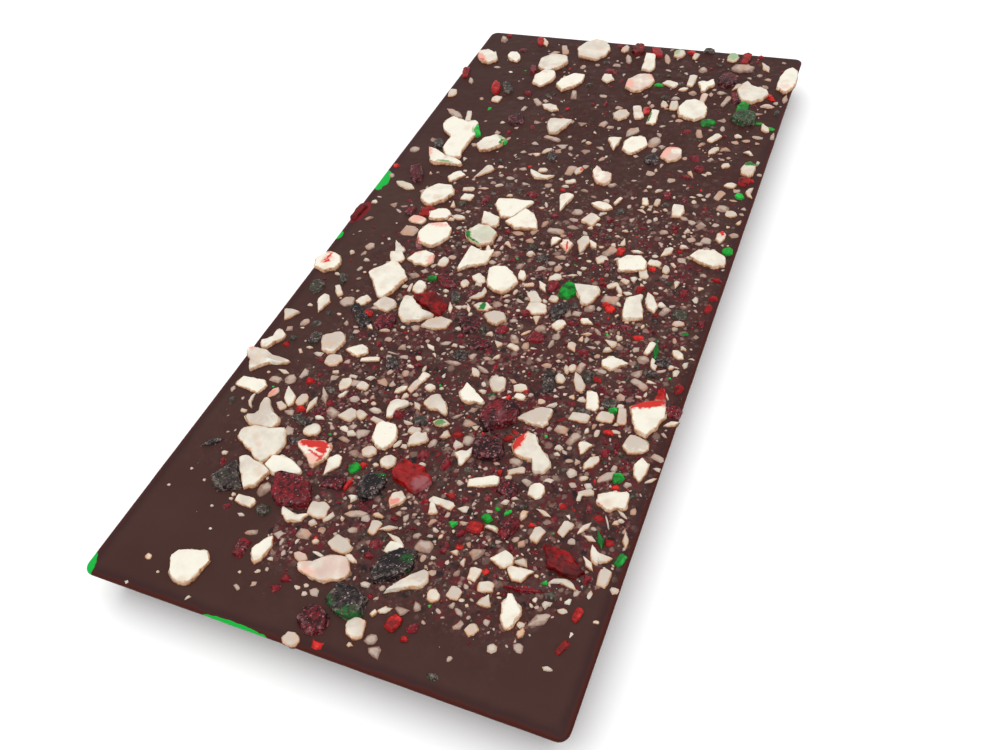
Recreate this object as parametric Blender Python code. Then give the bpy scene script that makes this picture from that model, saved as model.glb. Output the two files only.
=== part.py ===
"""A dark chocolate bar topped with crushed peppermint candy, lying flat with the candy up.

The bar is one moulded slab, a little narrower at its underside than at its open face. Shards of
broken candy stand in the open face, sunk part of the way into the chocolate, and are fused to it.
Metres, +Z up. +X runs across the bar, +Y along it, and the origin is at the middle of the underside.
"""
import math

import bmesh
import bpy
import numpy as np

# Driving sizes of the chocolate, with width and length at the rim before it is rounded
MM = 0.001
BAR_WIDTH = 75.3 * MM
BAR_LENGTH = 160.2 * MM
BAR_THICKNESS = 7 * MM
WALL_DRAFT = math.radians(20)
CORNER_RADIUS = 1.8 * MM
RIM_RADIUS = 0.6 * MM
FOOT_RADIUS = 1.0 * MM
CORNER_STEPS = 4
RIM_STEPS = 2

# How a shard of candy stands in the chocolate, and how far it may stand out past the rim
OVERHANG = 0.3 * MM
SINK = 0.8 * MM
ROOT_SCALE = 1.0
SIDE_LEAN = 0.3
HEIGHT_SHARE = 0.11
HEIGHT_DRIFT = 0.15
LEAST_HEIGHT = 0.25 * MM
MOST_HEIGHT = 0.65 * MM
KIND_HEIGHTS = {"filmed": 0.5, "red": 1.4, "green": 1.4, "dark_red": 1.7, "dark_green": 1.7}
LEAST_TOP = 0.45
CORNER_DRIFT = 0.04
MOST_TILT = 0.3

# Small shards that lie between the placed ones
SEED = 41
CRUMB_COUNT = 24
CRUMB_TRIES = 4000
CRUMB_LEAST = 0.9 * MM
CRUMB_MOST = 2.1 * MM
CRUMB_SLIMNESS = (0.5, 0.9)
CRUMB_GAP = 0.35 * MM
CRUMB_MARGIN = 1.2 * MM
CRUMB_FORMS = ("square", "wedge", "sliver")
CRUMB_KINDS = ("white", "filmed", "red", "dark_red", "dark_green", "green")
CRUMB_ODDS = (0.42, 0.30, 0.08, 0.09, 0.08, 0.03)

# How thickly the candy was strewn: along the bar, and across it at the left edge
STREWN_ALONG = ((-80, 0.0), (-72, 0.2), (-66, 0.9), (-40, 1.0), (-26, 0.7), (-8, 0.8), (18, 0.5),
                (32, 0.3), (80, 0.3))
STREWN_ACROSS = ((-37, 0.1), (-28, 0.3), (-14, 0.9), (30, 1.0), (37, 0.5))
BARE_CORNER_X = -14
BARE_CORNER_Y = -58
BARE_SHARE = 0.12

# Broken outlines in a box from -1 to 1, with the length along X
OUTLINES = {
    "slab": ((-1, -.25), (-.3, -.85), (.45, -1), (1, -.5), (.85, .55), (.1, 1), (-.7, .75)),
    "plate": ((-1, .1), (-.45, -.6), (.2, -1), (.7, -.5), (1, .5), (.9, .95), (-.2, 1), (-.75, .75)),
    "square": ((-1, -.9), (.85, -1), (1, .85), (-.8, 1)),
    "block": ((-1, -.7), (-.2, -1), (.9, -.85), (1, .5), (.3, 1), (-.8, .9)),
    "bar": ((-1, -.7), (.85, -1), (1, .4), (.75, 1), (-.9, .8)),
    "chip": ((-1, -.3), (.1, -1), (1, -.2), (.5, 1), (-.6, .8)),
    "kite": ((-1, 0), (.2, -1), (1, -.35), (.95, .45), (.3, 1)),
    "wedge": ((-1, .1), (.85, -1), (1, .2), (.75, 1)),
    "leaf": ((-1, -.05), (-.3, -.85), (.5, -1), (1, 0), (.35, .9), (-.5, .8)),
    "sliver": ((-1, -.1), (.2, -1), (1, -.1), (.1, 1)),
    "trapezoid": ((-1, -1), (.95, -.85), (1, -.2), (.3, 1), (-.35, .9)),
    "boat": ((-1, .8), (-.7, -.3), (-.1, -1), (.7, -.4), (1, .9), (.2, .15)),
    "egg": ((-1, -.3), (-.6, -.85), (.1, -1), (.75, -.65), (1, 0), (.75, .65), (.1, 1), (-.7, .8)),
    "round": ((-1, -.2), (-.4, -.95), (.45, -.9), (1, -.1), (.7, .75), (-.1, 1), (-.8, .6)),
    "anvil": ((-1, .19), (-.84, -.27), (-.57, -.66), (-.28, -.91), (.15, -1), (.61, -.94), (1, .61),
              (.51, 1), (-.51, .77), (-.84, .65)),
    "tear": ((1, -.46), (.82, -.08), (.18, .77), (-.14, 1), (-.54, .62), (-1, -.23), (-.54, -.69),
             (-.14, -.92), (.42, -1)),
    "wing": ((-1, -.23), (-.77, -.72), (-.07, -1), (.35, -.91), (1, -.19), (.86, .45), (.56, 1),
             (.33, 1), (-.23, .55), (-.49, .15), (-.77, .02)),
    "drop": ((-1, -1), (-.36, -.64), (.66, -.1), (1, .44), (.77, 1), (.47, 1), (-.02, .52),
             (-.47, -.08)),
    "pebble": ((-1, .37), (-1, -.06), (-.52, -.68), (.17, -1), (.66, -.83), (1, -.5), (1, -.06),
               (.72, .5), (.69, .93), (.17, 1), (-.52, .86)),
    "boot": ((-1, -.48), (-.84, -.74), (-.42, -1), (.89, -.9), (1, -.41), (.92, -.15), (.12, .34),
             (-.1, .57), (-.28, .9), (-.49, 1), (-.65, .9), (-.62, .5), (-.49, .02), (-.6, -.23),
             (-.9, -.31)),
    "shield": ((-1, .33), (-.98, -.06), (-.65, -.31), (-.07, -.64), (.33, -.93), (.6, -1), (.84, -.5),
               (1, -.25), (.91, .39), (.79, .61), (.67, 1), (.47, 1), (.12, .78), (-.58, .75),
               (-.93, .5)),
    "tongue": ((-1, -.35), (-.7, -.64), (-.3, -1), (0, -.75), (.82, -.35), (1, -.12), (.91, .14),
               (.45, .69), (.12, .92), (-.45, 1), (-.91, .81)),
    "tusk": ((-1, .79), (-.75, .43), (-.49, -.04), (.29, -1), (.48, -.9), (.77, -.64), (1, -.04),
             (1, .43), (.64, .68), (-.17, .88), (-.49, 1), (-.82, .96)),
    "fan": ((-1, .46), (-.82, .22), (-.04, -.42), (.38, -.9), (.61, -1), (.79, -.7), (1, .18),
            (.95, .58), (.77, .9), (.48, 1), (-.33, .8), (-.85, .6)),
    "heart": ((-1, .04), (-.7, -.43), (-.1, -.68), (.28, -.95), (.58, -1), (.88, -.43), (1, .04),
              (.88, .36), (.49, .4), (.49, .75), (.19, .86), (-.19, .75), (-.7, 1), (-.85, .5)),
    "shoe": ((-1, .44), (-.97, .15), (-.74, -.38), (-.2, -.47), (-.04, -.56), (.11, -.5), (.29, -.94),
             (.46, -1), (.83, -.96), (1, -.5), (.89, -.24), (.6, 0), (.09, .44), (-.2, .94), (-.4, 1),
             (-.77, .91)),
    "bone": ((-1, .28), (-.58, -.47), (0, -1), (.45, -.85), (.64, -.66), (.7, -.32), (1, .06),
             (.33, .47), (-.15, .74), (-.45, 1), (-.88, .92), (-.76, .55)),
    "horn": ((-1, -.03), (-.31, -.51), (.15, -1), (.46, -1), (.92, .14), (1, .68), (.77, 1), (.31, .46),
             (-.46, .3)),
    "pear": ((-1, .21), (-.91, -.29), (-.78, -.65), (0, -1), (.87, -.5), (1, -.24), (.96, .46),
             (.85, .92), (.52, 1), (.17, .77), (-.26, .72), (-.87, .31)),
    "flag": ((-1, 1), (-.89, .32), (-.71, -.32), (-.49, -.76), (.14, -1), (-.02, -.7), (.49, -.6),
             (.89, -.28), (1, .06), (.26, .13), (-.2, .19), (-.63, .63)),
    "fin": ((-.98, .36), (-.65, -.2), (-.4, -1), (-.27, -1), (.12, -.28), (.28, -.06), (.63, 0), (1, .4),
            (.9, .5), (.23, .54), (-.21, .92), (-.87, 1), (-1, .84)),
    "stork": ((-.31, .92), (-.18, .31), (-.59, -.08), (-1, -.23), (-.95, -.46), (-.31, -1), (.08, -.81),
              (.33, -.42), (.85, .23), (1, .54), (.33, 1), (-.08, 1)),
    "dome": ((-1, .12), (-.86, -.42), (-.55, -.73), (.27, -1), (.68, -1), (.95, -.23), (1, .35),
             (.82, .62), (.5, .9), (.23, 1), (-.09, .88), (-.95, .35)),
    "hammer": ((-1, .52), (-.76, -.33), (-.52, -.95), (-.1, -1), (.08, -.71), (.02, -.33), (.14, 0),
               (1, .71), (.85, .98), (-.52, .95)),
    "seal": ((-1, -.19), (-.8, -.46), (-.44, -.68), (.08, -.57), (.8, -1), (1, -.73), (.6, .03),
             (.28, .51), (-.12, .89), (-.52, 1), (-.72, .73)),
    "sail": ((-.98, -.19), (-.57, -1), (-.16, -.93), (.93, -.71), (1, -.48), (.05, .29), (-.59, .76),
             (-.89, 1)),
    "cliff": ((-1, -.69), (.17, -1), (.43, -.9), (.74, -.95), (1, -.54), (.85, -.18), (.96, .85),
              (.81, 1), (.25, .95), (-.13, .69), (-.77, -.28)),
    "gem": ((-1, .15), (-.53, -.23), (-.28, -.52), (.16, -1), (.41, -.96), (.6, -.8), (1, .25),
            (.31, .82), (.06, 1), (-.33, .9), (-.53, .7)),
    "hoof": ((-1, .25), (-.8, -.49), (-.39, -1), (.01, -.81), (.42, -.75), (1, -.17), (1, 0), (.3, .14),
             (-.62, 1), (-1, 1)),
    "slate": ((-1, .68), (-.76, -.24), (-.59, -.59), (.12, -.97), (.53, -1), (.82, -.18), (1, .06),
              (.24, .76), (-.06, 1), (-.35, 1), (-.71, .88)),
    "hull": ((-1, .06), (-.81, -.74), (-.52, -1), (-.14, -.97), (1, -.66), (.62, 0), (.24, .46),
             (.29, .86), (.05, 1), (-.43, .74), (-.9, .57)),
    "ember": ((-1, .95), (-.7, -.03), (-.56, -.64), (.24, -1), (.7, -.9), (1, -.28), (.53, .23),
              (.03, .9), (-.7, 1)),
    "crater": ((-1, .71), (-.68, -.36), (-.44, -.75), (.12, -1), (.95, -.7), (1, -.04), (.66, .71),
               (.29, .96), (-.12, 1)),
    "tent": ((-1, -.51), (-.54, -.8), (-.19, -1), (1, -.74), (.97, -.41), (.74, .11), (.45, .57),
             (-.19, 1), (-.36, .7), (-.54, .18)),
    "flint": ((-1, .95), (-1, -.85), (-.84, -1), (-.36, -.55), (.84, -.21), (1, .47), (.92, 1),
              (.2, .71)),
    "stump": ((-1, .58), (-.67, .23), (-.29, .09), (-.18, -.05), (-.18, -.61), (.22, -.96), (.44, -1),
              (.96, -.92), (.84, -.61), (.89, .19), (1, .23), (.73, .51), (.67, .86), (.51, .97),
              (.22, .9), (-.29, .97), (-.71, 1), (-.93, .86)),
    "fish": ((-1, 1), (-.83, .12), (-.54, -.77), (-.25, -1), (.42, -.77), (.92, -.81), (1, -.54),
             (.73, -.23), (.42, 0), (0, .12), (-.25, .42), (-.63, .77)),
    "spear": ((-.83, 1), (-.96, .37), (-.52, -.47), (-.09, -.8), (.65, -.97), (.91, -.57), (.96, -.13),
              (.78, .37), (-.17, .47)),
    "sack": ((-.56, 1), (-.71, .67), (-.97, .09), (-.82, -.37), (-.53, -.91), (-.18, -1), (.26, -.91),
             (.79, -.53), (1, -.02), (.85, .33), (-.18, .6)),
    "molar": ((.6, 1), (0, .45), (-.65, .53), (-1, .3), (-.45, -.3), (-.15, -1), (.25, -.9), (.35, -.3),
              (.95, .14)),
    "coal": ((-.97, -.25), (-.82, -.64), (-.23, -1), (.86, -.5), (1, -.32), (.3, .46), (-.05, .98),
             (-.3, 1), (-.75, .18)),
    "lantern": ((-1, .36), (-.72, -.17), (-.38, -.76), (-.14, -.95), (.34, -1), (.79, -.36), (1, .17),
                (.86, .65), (.76, .97), (.55, 1), (-.17, .79), (-.72, .52)),
    "garnet": ((-1, .38), (-.62, -.12), (-.08, -.42), (.51, -1), (.84, -.92), (1, .08), (.41, .65),
               (.03, 1), (-.51, .65)),
}

# The pieces that stand out, each as outline, place across and along the bar, length, breadth and turn
PLACED = {
    "white": (
        ("anvil", -22.4, -74.2, 6.1, 5.7, 0), ("tear", -13.3, -68.5, 5.0, 2.6, 90),
        ("bar", -20.3, -61.8, 3.5, 1.7, 0), ("boat", -11.8, -61.8, 5.0, 2.6, 0),
        ("block", -8.5, -59.8, 3.2, 2.8, 10), ("block", -2.4, -64.1, 3.7, 2.5, -15),
        ("drop", 9.8, -66.5, 5.3, 5.0, 0), ("block", 5.4, -62.2, 2.8, 2.3, 0),
        ("sliver", 4.9, -60.7, 3.8, 0.9, -20), ("bar", 1.0, -59.9, 2.4, 1.6, 90),
        ("sliver", 3.0, -59.4, 2.8, 0.9, 25), ("pebble", 5.8, -74.9, 2.9, 3.3, 0),
        ("egg", -1.8, -79.1, 2.6, 2.0, 0), ("kite", 20.6, -59.1, 3.4, 2.9, 15),
        ("trapezoid", 23.8, -60.5, 3.7, 2.2, 180), ("boat", 30.0, -59.9, 4.1, 1.5, 180),
        ("bar", 17.9, -62.4, 2.2, 1.7, 90), ("block", 20.2, -63.7, 2.2, 1.7, 20),
        ("wedge", 20.9, -65.5, 2.0, 2.0, -90), ("bone", 24.8, -66.0, 3.3, 5.3, 0),
        ("round", 13.9, -67.2, 2.0, 1.8, 90), ("block", 16.5, -65.9, 2.0, 1.9, 0),
        ("block", 20.8, -70.1, 1.8, 1.5, 60), ("fin", -33.1, -35.6, 9.1, 5.0, 0),
        ("bar", -32.6, -40.9, 5.6, 2.9, -2), ("sliver", -28.6, -36.7, 2.6, 0.8, -8),
        ("kite", -24.8, -41.2, 4.6, 2.1, -55), ("egg", -22.2, -41.4, 2.8, 1.9, 80),
        ("sliver", -20.1, -41.9, 3.8, 1.1, 88), ("bar", -25.0, -43.5, 2.0, 1.3, -35),
        ("boat", -30.6, -44.0, 3.3, 1.0, -70), ("boot", -26.4, -45.8, 6.3, 6.1, 0),
        ("shield", -24.2, -51.4, 8.6, 7.2, 0), ("tongue", -17.7, -54.5, 6.6, 3.5, 0),
        ("tusk", -22.7, -57.2, 6.2, 5.6, 0), ("round", -17.2, -46.6, 3.0, 2.6, 20),
        ("leaf", -16.8, -36.2, 3.0, 2.2, 80), ("block", -13.7, -35.8, 2.0, 1.7, 0),
        ("kite", -13.1, -42.2, 3.2, 3.0, 20), ("round", -21.4, -31.9, 3.2, 2.9, 20),
        ("bar", -11.1, -41.4, 2.2, 1.5, -25), ("bar", -7.7, -41.8, 2.6, 1.0, -12),
        ("leaf", -7.1, -34.7, 2.6, 1.3, 50), ("bar", -5.2, -33.3, 3.0, 1.3, 75),
        ("round", -2.5, -32.9, 2.0, 1.6, 0), ("seal", 0.3, -35.9, 5.0, 3.7, 0),
        ("sail", 5.1, -32.3, 4.7, 4.2, 0), ("sliver", -2.9, -37.1, 2.2, 1.0, -40),
        ("hammer", -5.9, -38.8, 3.4, 4.2, 0), ("bar", -1.1, -41.9, 2.0, 1.5, 0),
        ("leaf", 0.1, -43.3, 3.9, 2.7, 60), ("egg", -5.2, -44.2, 5.7, 4.2, -70),
        ("round", -6.2, -47.7, 2.4, 2.2, 0), ("round", -2.4, -48.6, 2.5, 2.6, 0),
        ("kite", -10.6, -51.9, 4.3, 2.6, 80), ("horn", 8.1, -44.0, 2.6, 3.7, 0),
        ("bar", 8.8, -53.0, 4.2, 1.4, -5), ("wedge", 7.6, -54.0, 3.0, 1.5, -60),
        ("bar", 13.2, -47.7, 5.0, 1.8, 25), ("cliff", 16.1, -33.6, 5.3, 3.9, 0),
        ("block", 22.9, -31.9, 3.3, 1.8, 5), ("wedge", 25.4, -37.6, 2.7, 2.3, 90),
        ("leaf", 27.3, -39.7, 3.5, 1.7, 65), ("bar", 17.2, -44.4, 2.6, 1.2, 30),
        ("egg", 21.3, -46.9, 3.1, 2.5, 90), ("dome", 32.8, -34.7, 3.9, 3.6, 180),
        ("leaf", 34.6, -38.8, 4.5, 2.3, 98), ("pear", 32.3, -45.2, 4.6, 4.0, 0),
        ("bar", 28.3, -45.1, 2.4, 1.1, 30), ("bar", 27.4, -51.7, 2.7, 1.6, 75),
        ("sliver", 29.9, -50.8, 3.0, 0.9, 62), ("sliver", 31.2, -52.1, 2.2, 0.8, -12),
        ("flag", 33.4, -54.3, 3.5, 3.2, 0), ("sliver", 32.2, -55.9, 2.8, 0.9, -42),
        ("bar", 34.9, -57.4, 2.9, 1.7, 90), ("sliver", 36.0, -50.8, 2.8, 0.8, -72),
        ("sliver", 23.6, -50.1, 2.8, 0.7, -15), ("bar", 24.0, -53.8, 2.5, 1.8, 80),
        ("gem", -21.9, -10.9, 8.1, 9.9, 0), ("egg", -14.8, -11.3, 3.6, 2.6, 100),
        ("hoof", -12.6, -17.2, 6.9, 6.3, 0), ("block", -18.9, -17.0, 3.8, 3.2, -15),
        ("square", -23.3, -17.1, 2.8, 2.1, 60), ("bar", -29.2, -15.9, 3.0, 1.2, -50),
        ("kite", -30.5, -19.8, 4.5, 2.6, 98), ("wedge", -35.1, -24.2, 3.0, 3.2, 88),
        ("stork", -34.6, -30.6, 3.9, 5.2, 0), ("dome", -23.8, -28.1, 4.4, 5.2, 0),
        ("kite", -18.5, -28.8, 4.0, 3.1, 10), ("bar", -15.3, -30.0, 3.5, 1.0, 20),
        ("sliver", -19.4, -22.6, 2.8, 0.9, -30), ("round", -7.1, -8.1, 1.9, 1.7, 90),
        ("boat", -3.2, -10.0, 3.8, 2.0, 65), ("bar", 6.5, -8.4, 3.6, 2.0, -45),
        ("slab", 7.9, -10.8, 3.8, 3.0, 10), ("block", 9.9, -7.7, 1.7, 1.6, 0),
        ("block", 13.0, -13.6, 2.5, 2.0, 60), ("wedge", 8.9, -13.5, 2.1, 1.3, 110),
        ("sliver", -7.1, -14.5, 3.3, 0.9, -65), ("sliver", -3.8, -13.9, 2.9, 0.7, -60),
        ("leaf", -7.7, -19.0, 5.6, 3.3, 28), ("wedge", 4.4, -20.5, 1.8, 1.3, -30),
        ("bar", 7.3, -20.6, 2.2, 1.1, -15), ("leaf", 3.4, -27.7, 2.6, 1.3, -40),
        ("egg", 8.0, -29.1, 3.8, 2.8, -60), ("block", 11.8, -28.8, 2.3, 1.6, 30),
        ("block", 12.4, -30.6, 1.8, 1.3, 0), ("bar", -4.6, -31.2, 2.3, 1.5, 80),
        ("kite", 17.4, -11.6, 2.7, 1.5, 165), ("bar", 29.2, -14.8, 3.3, 1.2, 80),
        ("leaf", 30.8, -18.0, 2.9, 1.1, -65), ("leaf", 33.9, -14.9, 2.6, 1.5, -35),
        ("wedge", 22.6, -15.3, 2.4, 1.5, -20), ("kite", 16.9, -17.9, 2.4, 1.7, 130),
        ("kite", 24.8, -19.6, 4.6, 3.2, 195), ("egg", 18.4, -22.4, 1.9, 1.2, 85),
        ("leaf", 17.3, -25.0, 2.5, 1.6, -55), ("leaf", 20.5, -25.1, 4.9, 1.7, -58),
        ("bar", 23.7, -28.2, 4.0, 2.2, -70), ("block", 26.7, -30.7, 2.7, 2.2, 0),
        ("bar", 29.1, -29.9, 3.5, 1.6, -75), ("sliver", 36.6, -29.2, 2.8, 0.9, 35),
        ("leaf", -31.2, 16.4, 5.2, 1.9, -15), ("slab", -23.3, 14.8, 7.7, 6.0, 80),
        ("wedge", -18.8, 13.0, 2.2, 1.0, -70), ("square", -16.9, 15.7, 2.5, 2.0, 0),
        ("bar", -17.6, 18.2, 2.6, 1.3, 15), ("egg", -15.9, 9.4, 2.9, 1.4, -5),
        ("slab", -18.5, 3.0, 7.7, 6.8, 100), ("slab", -17.8, -3.8, 5.3, 4.0, 10),
        ("wedge", -23.9, -1.8, 4.8, 2.3, -50), ("block", -22.7, -4.7, 3.4, 2.8, -60),
        ("egg", -13.4, -3.7, 2.7, 2.1, 90), ("trapezoid", -6.7, 14.2, 7.4, 5.6, 182),
        ("tent", -3.1, 11.6, 6.9, 6.1, 0), ("kite", -9.8, 10.3, 5.6, 3.8, -45),
        ("flint", -7.5, -1.8, 5.0, 7.6, 0), ("sliver", -6.6, 2.0, 2.5, 1.0, -70),
        ("wedge", -3.2, 4.0, 2.1, 1.1, 140), ("slate", -0.8, -5.6, 6.8, 6.8, 0),
        ("block", -5.1, -6.2, 2.9, 1.9, -35), ("leaf", 1.7, -14.8, 4.4, 3.4, -10),
        ("leaf", 2.3, -3.4, 3.2, 1.6, -60), ("sliver", 6.9, -5.1, 3.5, 1.3, -50),
        ("leaf", 8.3, -2.5, 2.8, 1.8, 45), ("trapezoid", 15.3, -4.8, 5.8, 4.0, -60),
        ("wedge", 2.7, 18.5, 5.6, 3.0, 95), ("square", 9.4, 14.7, 3.2, 2.9, 70),
        ("wedge", 4.8, 7.0, 2.9, 2.0, 85), ("kite", 10.3, 7.4, 5.2, 2.4, 95),
        ("sliver", 12.0, 8.0, 3.2, 1.2, -45), ("slab", 33.2, 9.2, 6.8, 4.3, -5),
        ("kite", 25.6, 9.1, 3.4, 1.6, 62), ("block", 24.3, 5.7, 2.5, 1.7, 0),
        ("leaf", 26.7, 4.6, 2.5, 1.5, -70), ("wedge", 29.5, 1.1, 2.0, 1.0, 95),
        ("wedge", 17.3, 10.0, 2.2, 1.1, -85), ("block", 14.9, 4.3, 2.2, 1.9, 40),
        ("slab", 20.4, 4.3, 5.4, 5.0, 40), ("bar", 22.9, 2.9, 3.8, 1.6, -60),
        ("bar", 18.9, -1.8, 2.3, 1.1, 42), ("bar", 20.6, -0.2, 1.6, 1.1, -20),
        ("hull", 24.3, -6.2, 4.2, 7.0, 0), ("leaf", 26.5, -4.3, 5.5, 1.9, -63),
        ("stump", -28.0, 34.4, 9.0, 14.3, 0), ("bar", -28.3, 42.9, 4.6, 1.3, -72),
        ("bar", -22.0, 21.7, 3.7, 2.4, 60), ("wedge", -16.9, 24.2, 5.2, 2.3, 62),
        ("trapezoid", -7.5, 43.1, 5.2, 5.8, 180), ("wedge", 6.4, 39.7, 4.6, 3.0, 105),
        ("slab", 10.5, 39.8, 6.3, 4.8, 85), ("boat", -5.0, 25.8, 5.6, 2.6, -12),
        ("block", -5.1, 27.7, 1.9, 1.3, 10), ("leaf", -6.6, 34.3, 2.6, 1.3, 55),
        ("bar", 1.7, 25.3, 2.2, 1.1, 28), ("leaf", 10.2, 19.3, 4.6, 2.5, -8),
        ("bar", 12.7, 21.5, 2.6, 0.8, 72), ("leaf", 26.5, 41.6, 3.2, 1.5, 62),
        ("leaf", 29.9, 37.1, 2.2, 1.5, 65), ("leaf", 32.2, 31.1, 2.5, 1.7, 20),
        ("boat", 36.2, 29.7, 3.4, 1.5, -85), ("bar", 17.8, 22.5, 2.4, 1.3, -72),
        ("bar", 20.1, 22.8, 2.0, 1.1, 90), ("block", 24.5, 21.2, 3.9, 2.4, -78),
        ("egg", 34.2, 22.5, 2.3, 1.9, 5), ("egg", -27.5, 69.0, 4.8, 3.0, -55),
        ("slab", -17.4, 67.8, 7.8, 6.6, 80), ("slab", -17.1, 61.0, 6.6, 5.0, 85),
        ("egg", -9.7, 75.4, 9.2, 7.9, 98), ("slab", -10.7, 60.6, 7.8, 4.8, 70),
        ("chip", -2.8, 63.9, 3.9, 2.9, -65), ("bar", 4.6, 72.2, 7.8, 3.0, -80),
        ("bar", 11.7, 64.2, 3.6, 2.2, -18), ("round", 4.6, 50.2, 4.2, 3.2, 80),
        ("bar", 7.8, 51.8, 5.4, 2.2, -68), ("leaf", -11.5, 50.0, 4.8, 2.2, -18),
        ("egg", 18.9, 54.9, 8.0, 6.4, 95), ("bar", 14.6, 56.0, 3.4, 1.9, -80),
        ("leaf", 12.5, 56.0, 3.2, 1.5, -65), ("bar", 25.7, 45.9, 3.6, 1.6, 62),
        ("sack", 29.6, 64.1, 6.8, 8.6, 0), ("wedge", 26.0, 65.5, 3.2, 1.9, 60),
        ("molar", 19.3, 64.9, 4.0, 5.7, 0), ("bar", 15.9, 66.4, 5.0, 1.8, 92),
        ("leaf", 14.9, 62.7, 2.4, 1.3, 35), ("bar", 14.2, 76.8, 2.8, 1.3, 88),
        ("sliver", 30.4, 74.8, 4.6, 1.5, -58), ("egg", 35.9, 70.2, 10.4, 4.0, 88),
        ("block", -36.0, 51.3, 3.2, 2.0, -75), ("block", -24.8, 50.9, 2.6, 2.1, 90),
        ("kite", 34.7, 51.5, 3.2, 1.7, -60),
    ),
    "pink": (
        ("wing", -2.7, -68.1, 8.6, 4.7, 0), ("leaf", -7.1, -67.6, 2.6, 1.4, -10),
        ("leaf", -27.9, -41.4, 2.5, 1.4, 75), ("block", -23.7, 6.7, 3.8, 2.2, -5),
        ("spear", 7.2, 28.4, 4.6, 6.0, 0), ("egg", 18.8, 38.4, 5.0, 4.1, 75),
        ("slab", 4.8, 63.1, 7.7, 6.2, 82), ("leaf", -2.5, 77.2, 3.6, 1.9, -85),
        ("sliver", -22.5, 77.0, 4.4, 1.4, -60), ("bar", 4.4, -5.5, 1.9, 0.8, 25),
        ("bar", 20.0, 60.1, 3.8, 1.4, 90), ("sliver", -14.8, 19.2, 2.5, 0.7, 10),
        ("sliver", 18.2, -14.4, 2.0, 0.6, 20), ("sliver", 11.1, -1.1, 2.0, 0.6, 20),
    ),
    "red_striped": (
        ("fan", -15.2, -50.7, 6.2, 5.0, 0), ("shoe", 18.4, -40.5, 7.0, 6.8, 0),
        ("lantern", 32.7, -29.1, 5.8, 7.5, 0), ("egg", -35.2, -9.4, 5.4, 5.3, 90),
        ("slab", -20.0, 9.1, 4.6, 3.8, 35), ("kite", 7.5, 6.3, 3.6, 2.4, 110),
        ("leaf", 33.9, 15.6, 3.4, 1.8, 95), ("leaf", 2.1, 29.1, 2.8, 1.5, 85),
        ("slab", -34.1, 68.0, 7.0, 4.6, -40), ("leaf", 1.9, -54.5, 3.2, 2.4, 80),
        ("fish", -27.0, 27.2, 9.6, 5.2, 0),
    ),
    "green_striped": (
        ("leaf", -1.5, -12.9, 3.5, 2.2, 8), ("slab", -9.5, 5.2, 6.4, 5.6, -10),
        ("slab", -19.4, 34.0, 6.8, 4.8, 60), ("egg", 34.4, 36.8, 4.8, 2.7, 90),
        ("bar", 11.5, 50.7, 5.8, 2.1, -85), ("egg", 22.5, 77.7, 4.0, 2.5, 90),
        ("egg", 10.3, 77.2, 3.8, 2.6, 95), ("leaf", 2.3, -39.2, 2.8, 1.6, 10),
    ),
    "filmed": (
        ("leaf", -18.7, -59.0, 3.1, 2.1, 90), ("block", -8.6, -64.1, 2.2, 1.6, 0),
        ("leaf", -2.8, -58.6, 3.6, 1.2, 20), ("block", 9.4, -60.5, 2.6, 2.0, 0),
        ("sliver", 28.7, -65.9, 3.4, 1.9, 45), ("bar", -29.1, -38.7, 2.2, 1.4, 0),
        ("round", -26.6, -37.9, 2.3, 1.9, 90), ("sliver", -19.0, -39.4, 4.0, 1.1, -55),
        ("bar", -15.9, -42.3, 2.6, 1.6, -25), ("block", 20.9, -34.9, 2.0, 1.4, 0),
        ("bar", 23.3, -36.2, 2.7, 1.4, 70), ("leaf", 30.2, -41.5, 3.0, 1.5, 50),
        ("chip", -26.3, -18.1, 2.9, 2.6, 0), ("leaf", -31.4, -25.0, 2.0, 1.3, 70),
        ("leaf", 4.3, -26.7, 2.9, 0.9, -20), ("leaf", -1.2, -26.7, 3.3, 1.0, 5),
        ("leaf", 6.8, -18.7, 2.4, 1.5, -40), ("leaf", 16.8, -8.4, 2.3, 1.7, 60),
        ("bar", 29.7, -22.7, 3.2, 1.3, -25), ("round", 28.9, -17.4, 2.1, 1.9, 0),
        ("bar", 19.7, -21.9, 2.3, 1.1, 85), ("leaf", 19.8, -13.3, 2.1, 0.8, -40),
        ("bar", 19.6, -5.4, 3.0, 2.0, 0), ("bar", 29.3, -5.8, 2.3, 1.4, 70),
        ("leaf", -4.6, 1.0, 2.2, 1.6, 60), ("leaf", 7.9, 0.1, 2.0, 1.4, 90),
        ("block", -23.8, 3.2, 3.4, 3.0, 0), ("bar", 4.0, 10.0, 3.2, 1.5, 0),
        ("block", 6.2, 16.4, 2.0, 1.7, 0), ("bar", 15.7, 6.9, 2.9, 1.9, 60),
        ("block", 31.6, 14.1, 1.7, 1.5, 0), ("chip", -29.4, -2.9, 1.9, 1.8, 0),
        ("leaf", -32.0, 43.6, 5.8, 1.8, -28), ("bar", -7.0, 38.9, 4.0, 1.2, -14),
        ("bar", 0.5, 28.9, 3.3, 1.9, 85), ("egg", 14.2, 41.9, 4.0, 2.5, 85),
        ("bar", 30.9, 27.6, 2.7, 1.5, 75), ("block", 32.4, 23.8, 2.3, 1.9, 0),
        ("bar", -16.6, 74.4, 4.4, 1.5, -65), ("leaf", -33.2, 76.6, 3.8, 1.7, -60),
        ("bar", -15.2, 51.7, 3.2, 1.3, -48), ("leaf", 8.7, 44.7, 4.0, 2.2, 65),
        ("bar", 22.3, 46.9, 3.2, 1.3, -72), ("block", 25.6, 73.6, 4.8, 3.3, 5),
        ("round", 17.2, 71.4, 2.6, 1.8, 90), ("bar", 24.9, 60.0, 4.2, 1.2, 78),
        ("leaf", -0.5, 73.0, 4.6, 1.3, -68), ("leaf", 8.2, 74.7, 4.6, 1.2, -68),
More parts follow.
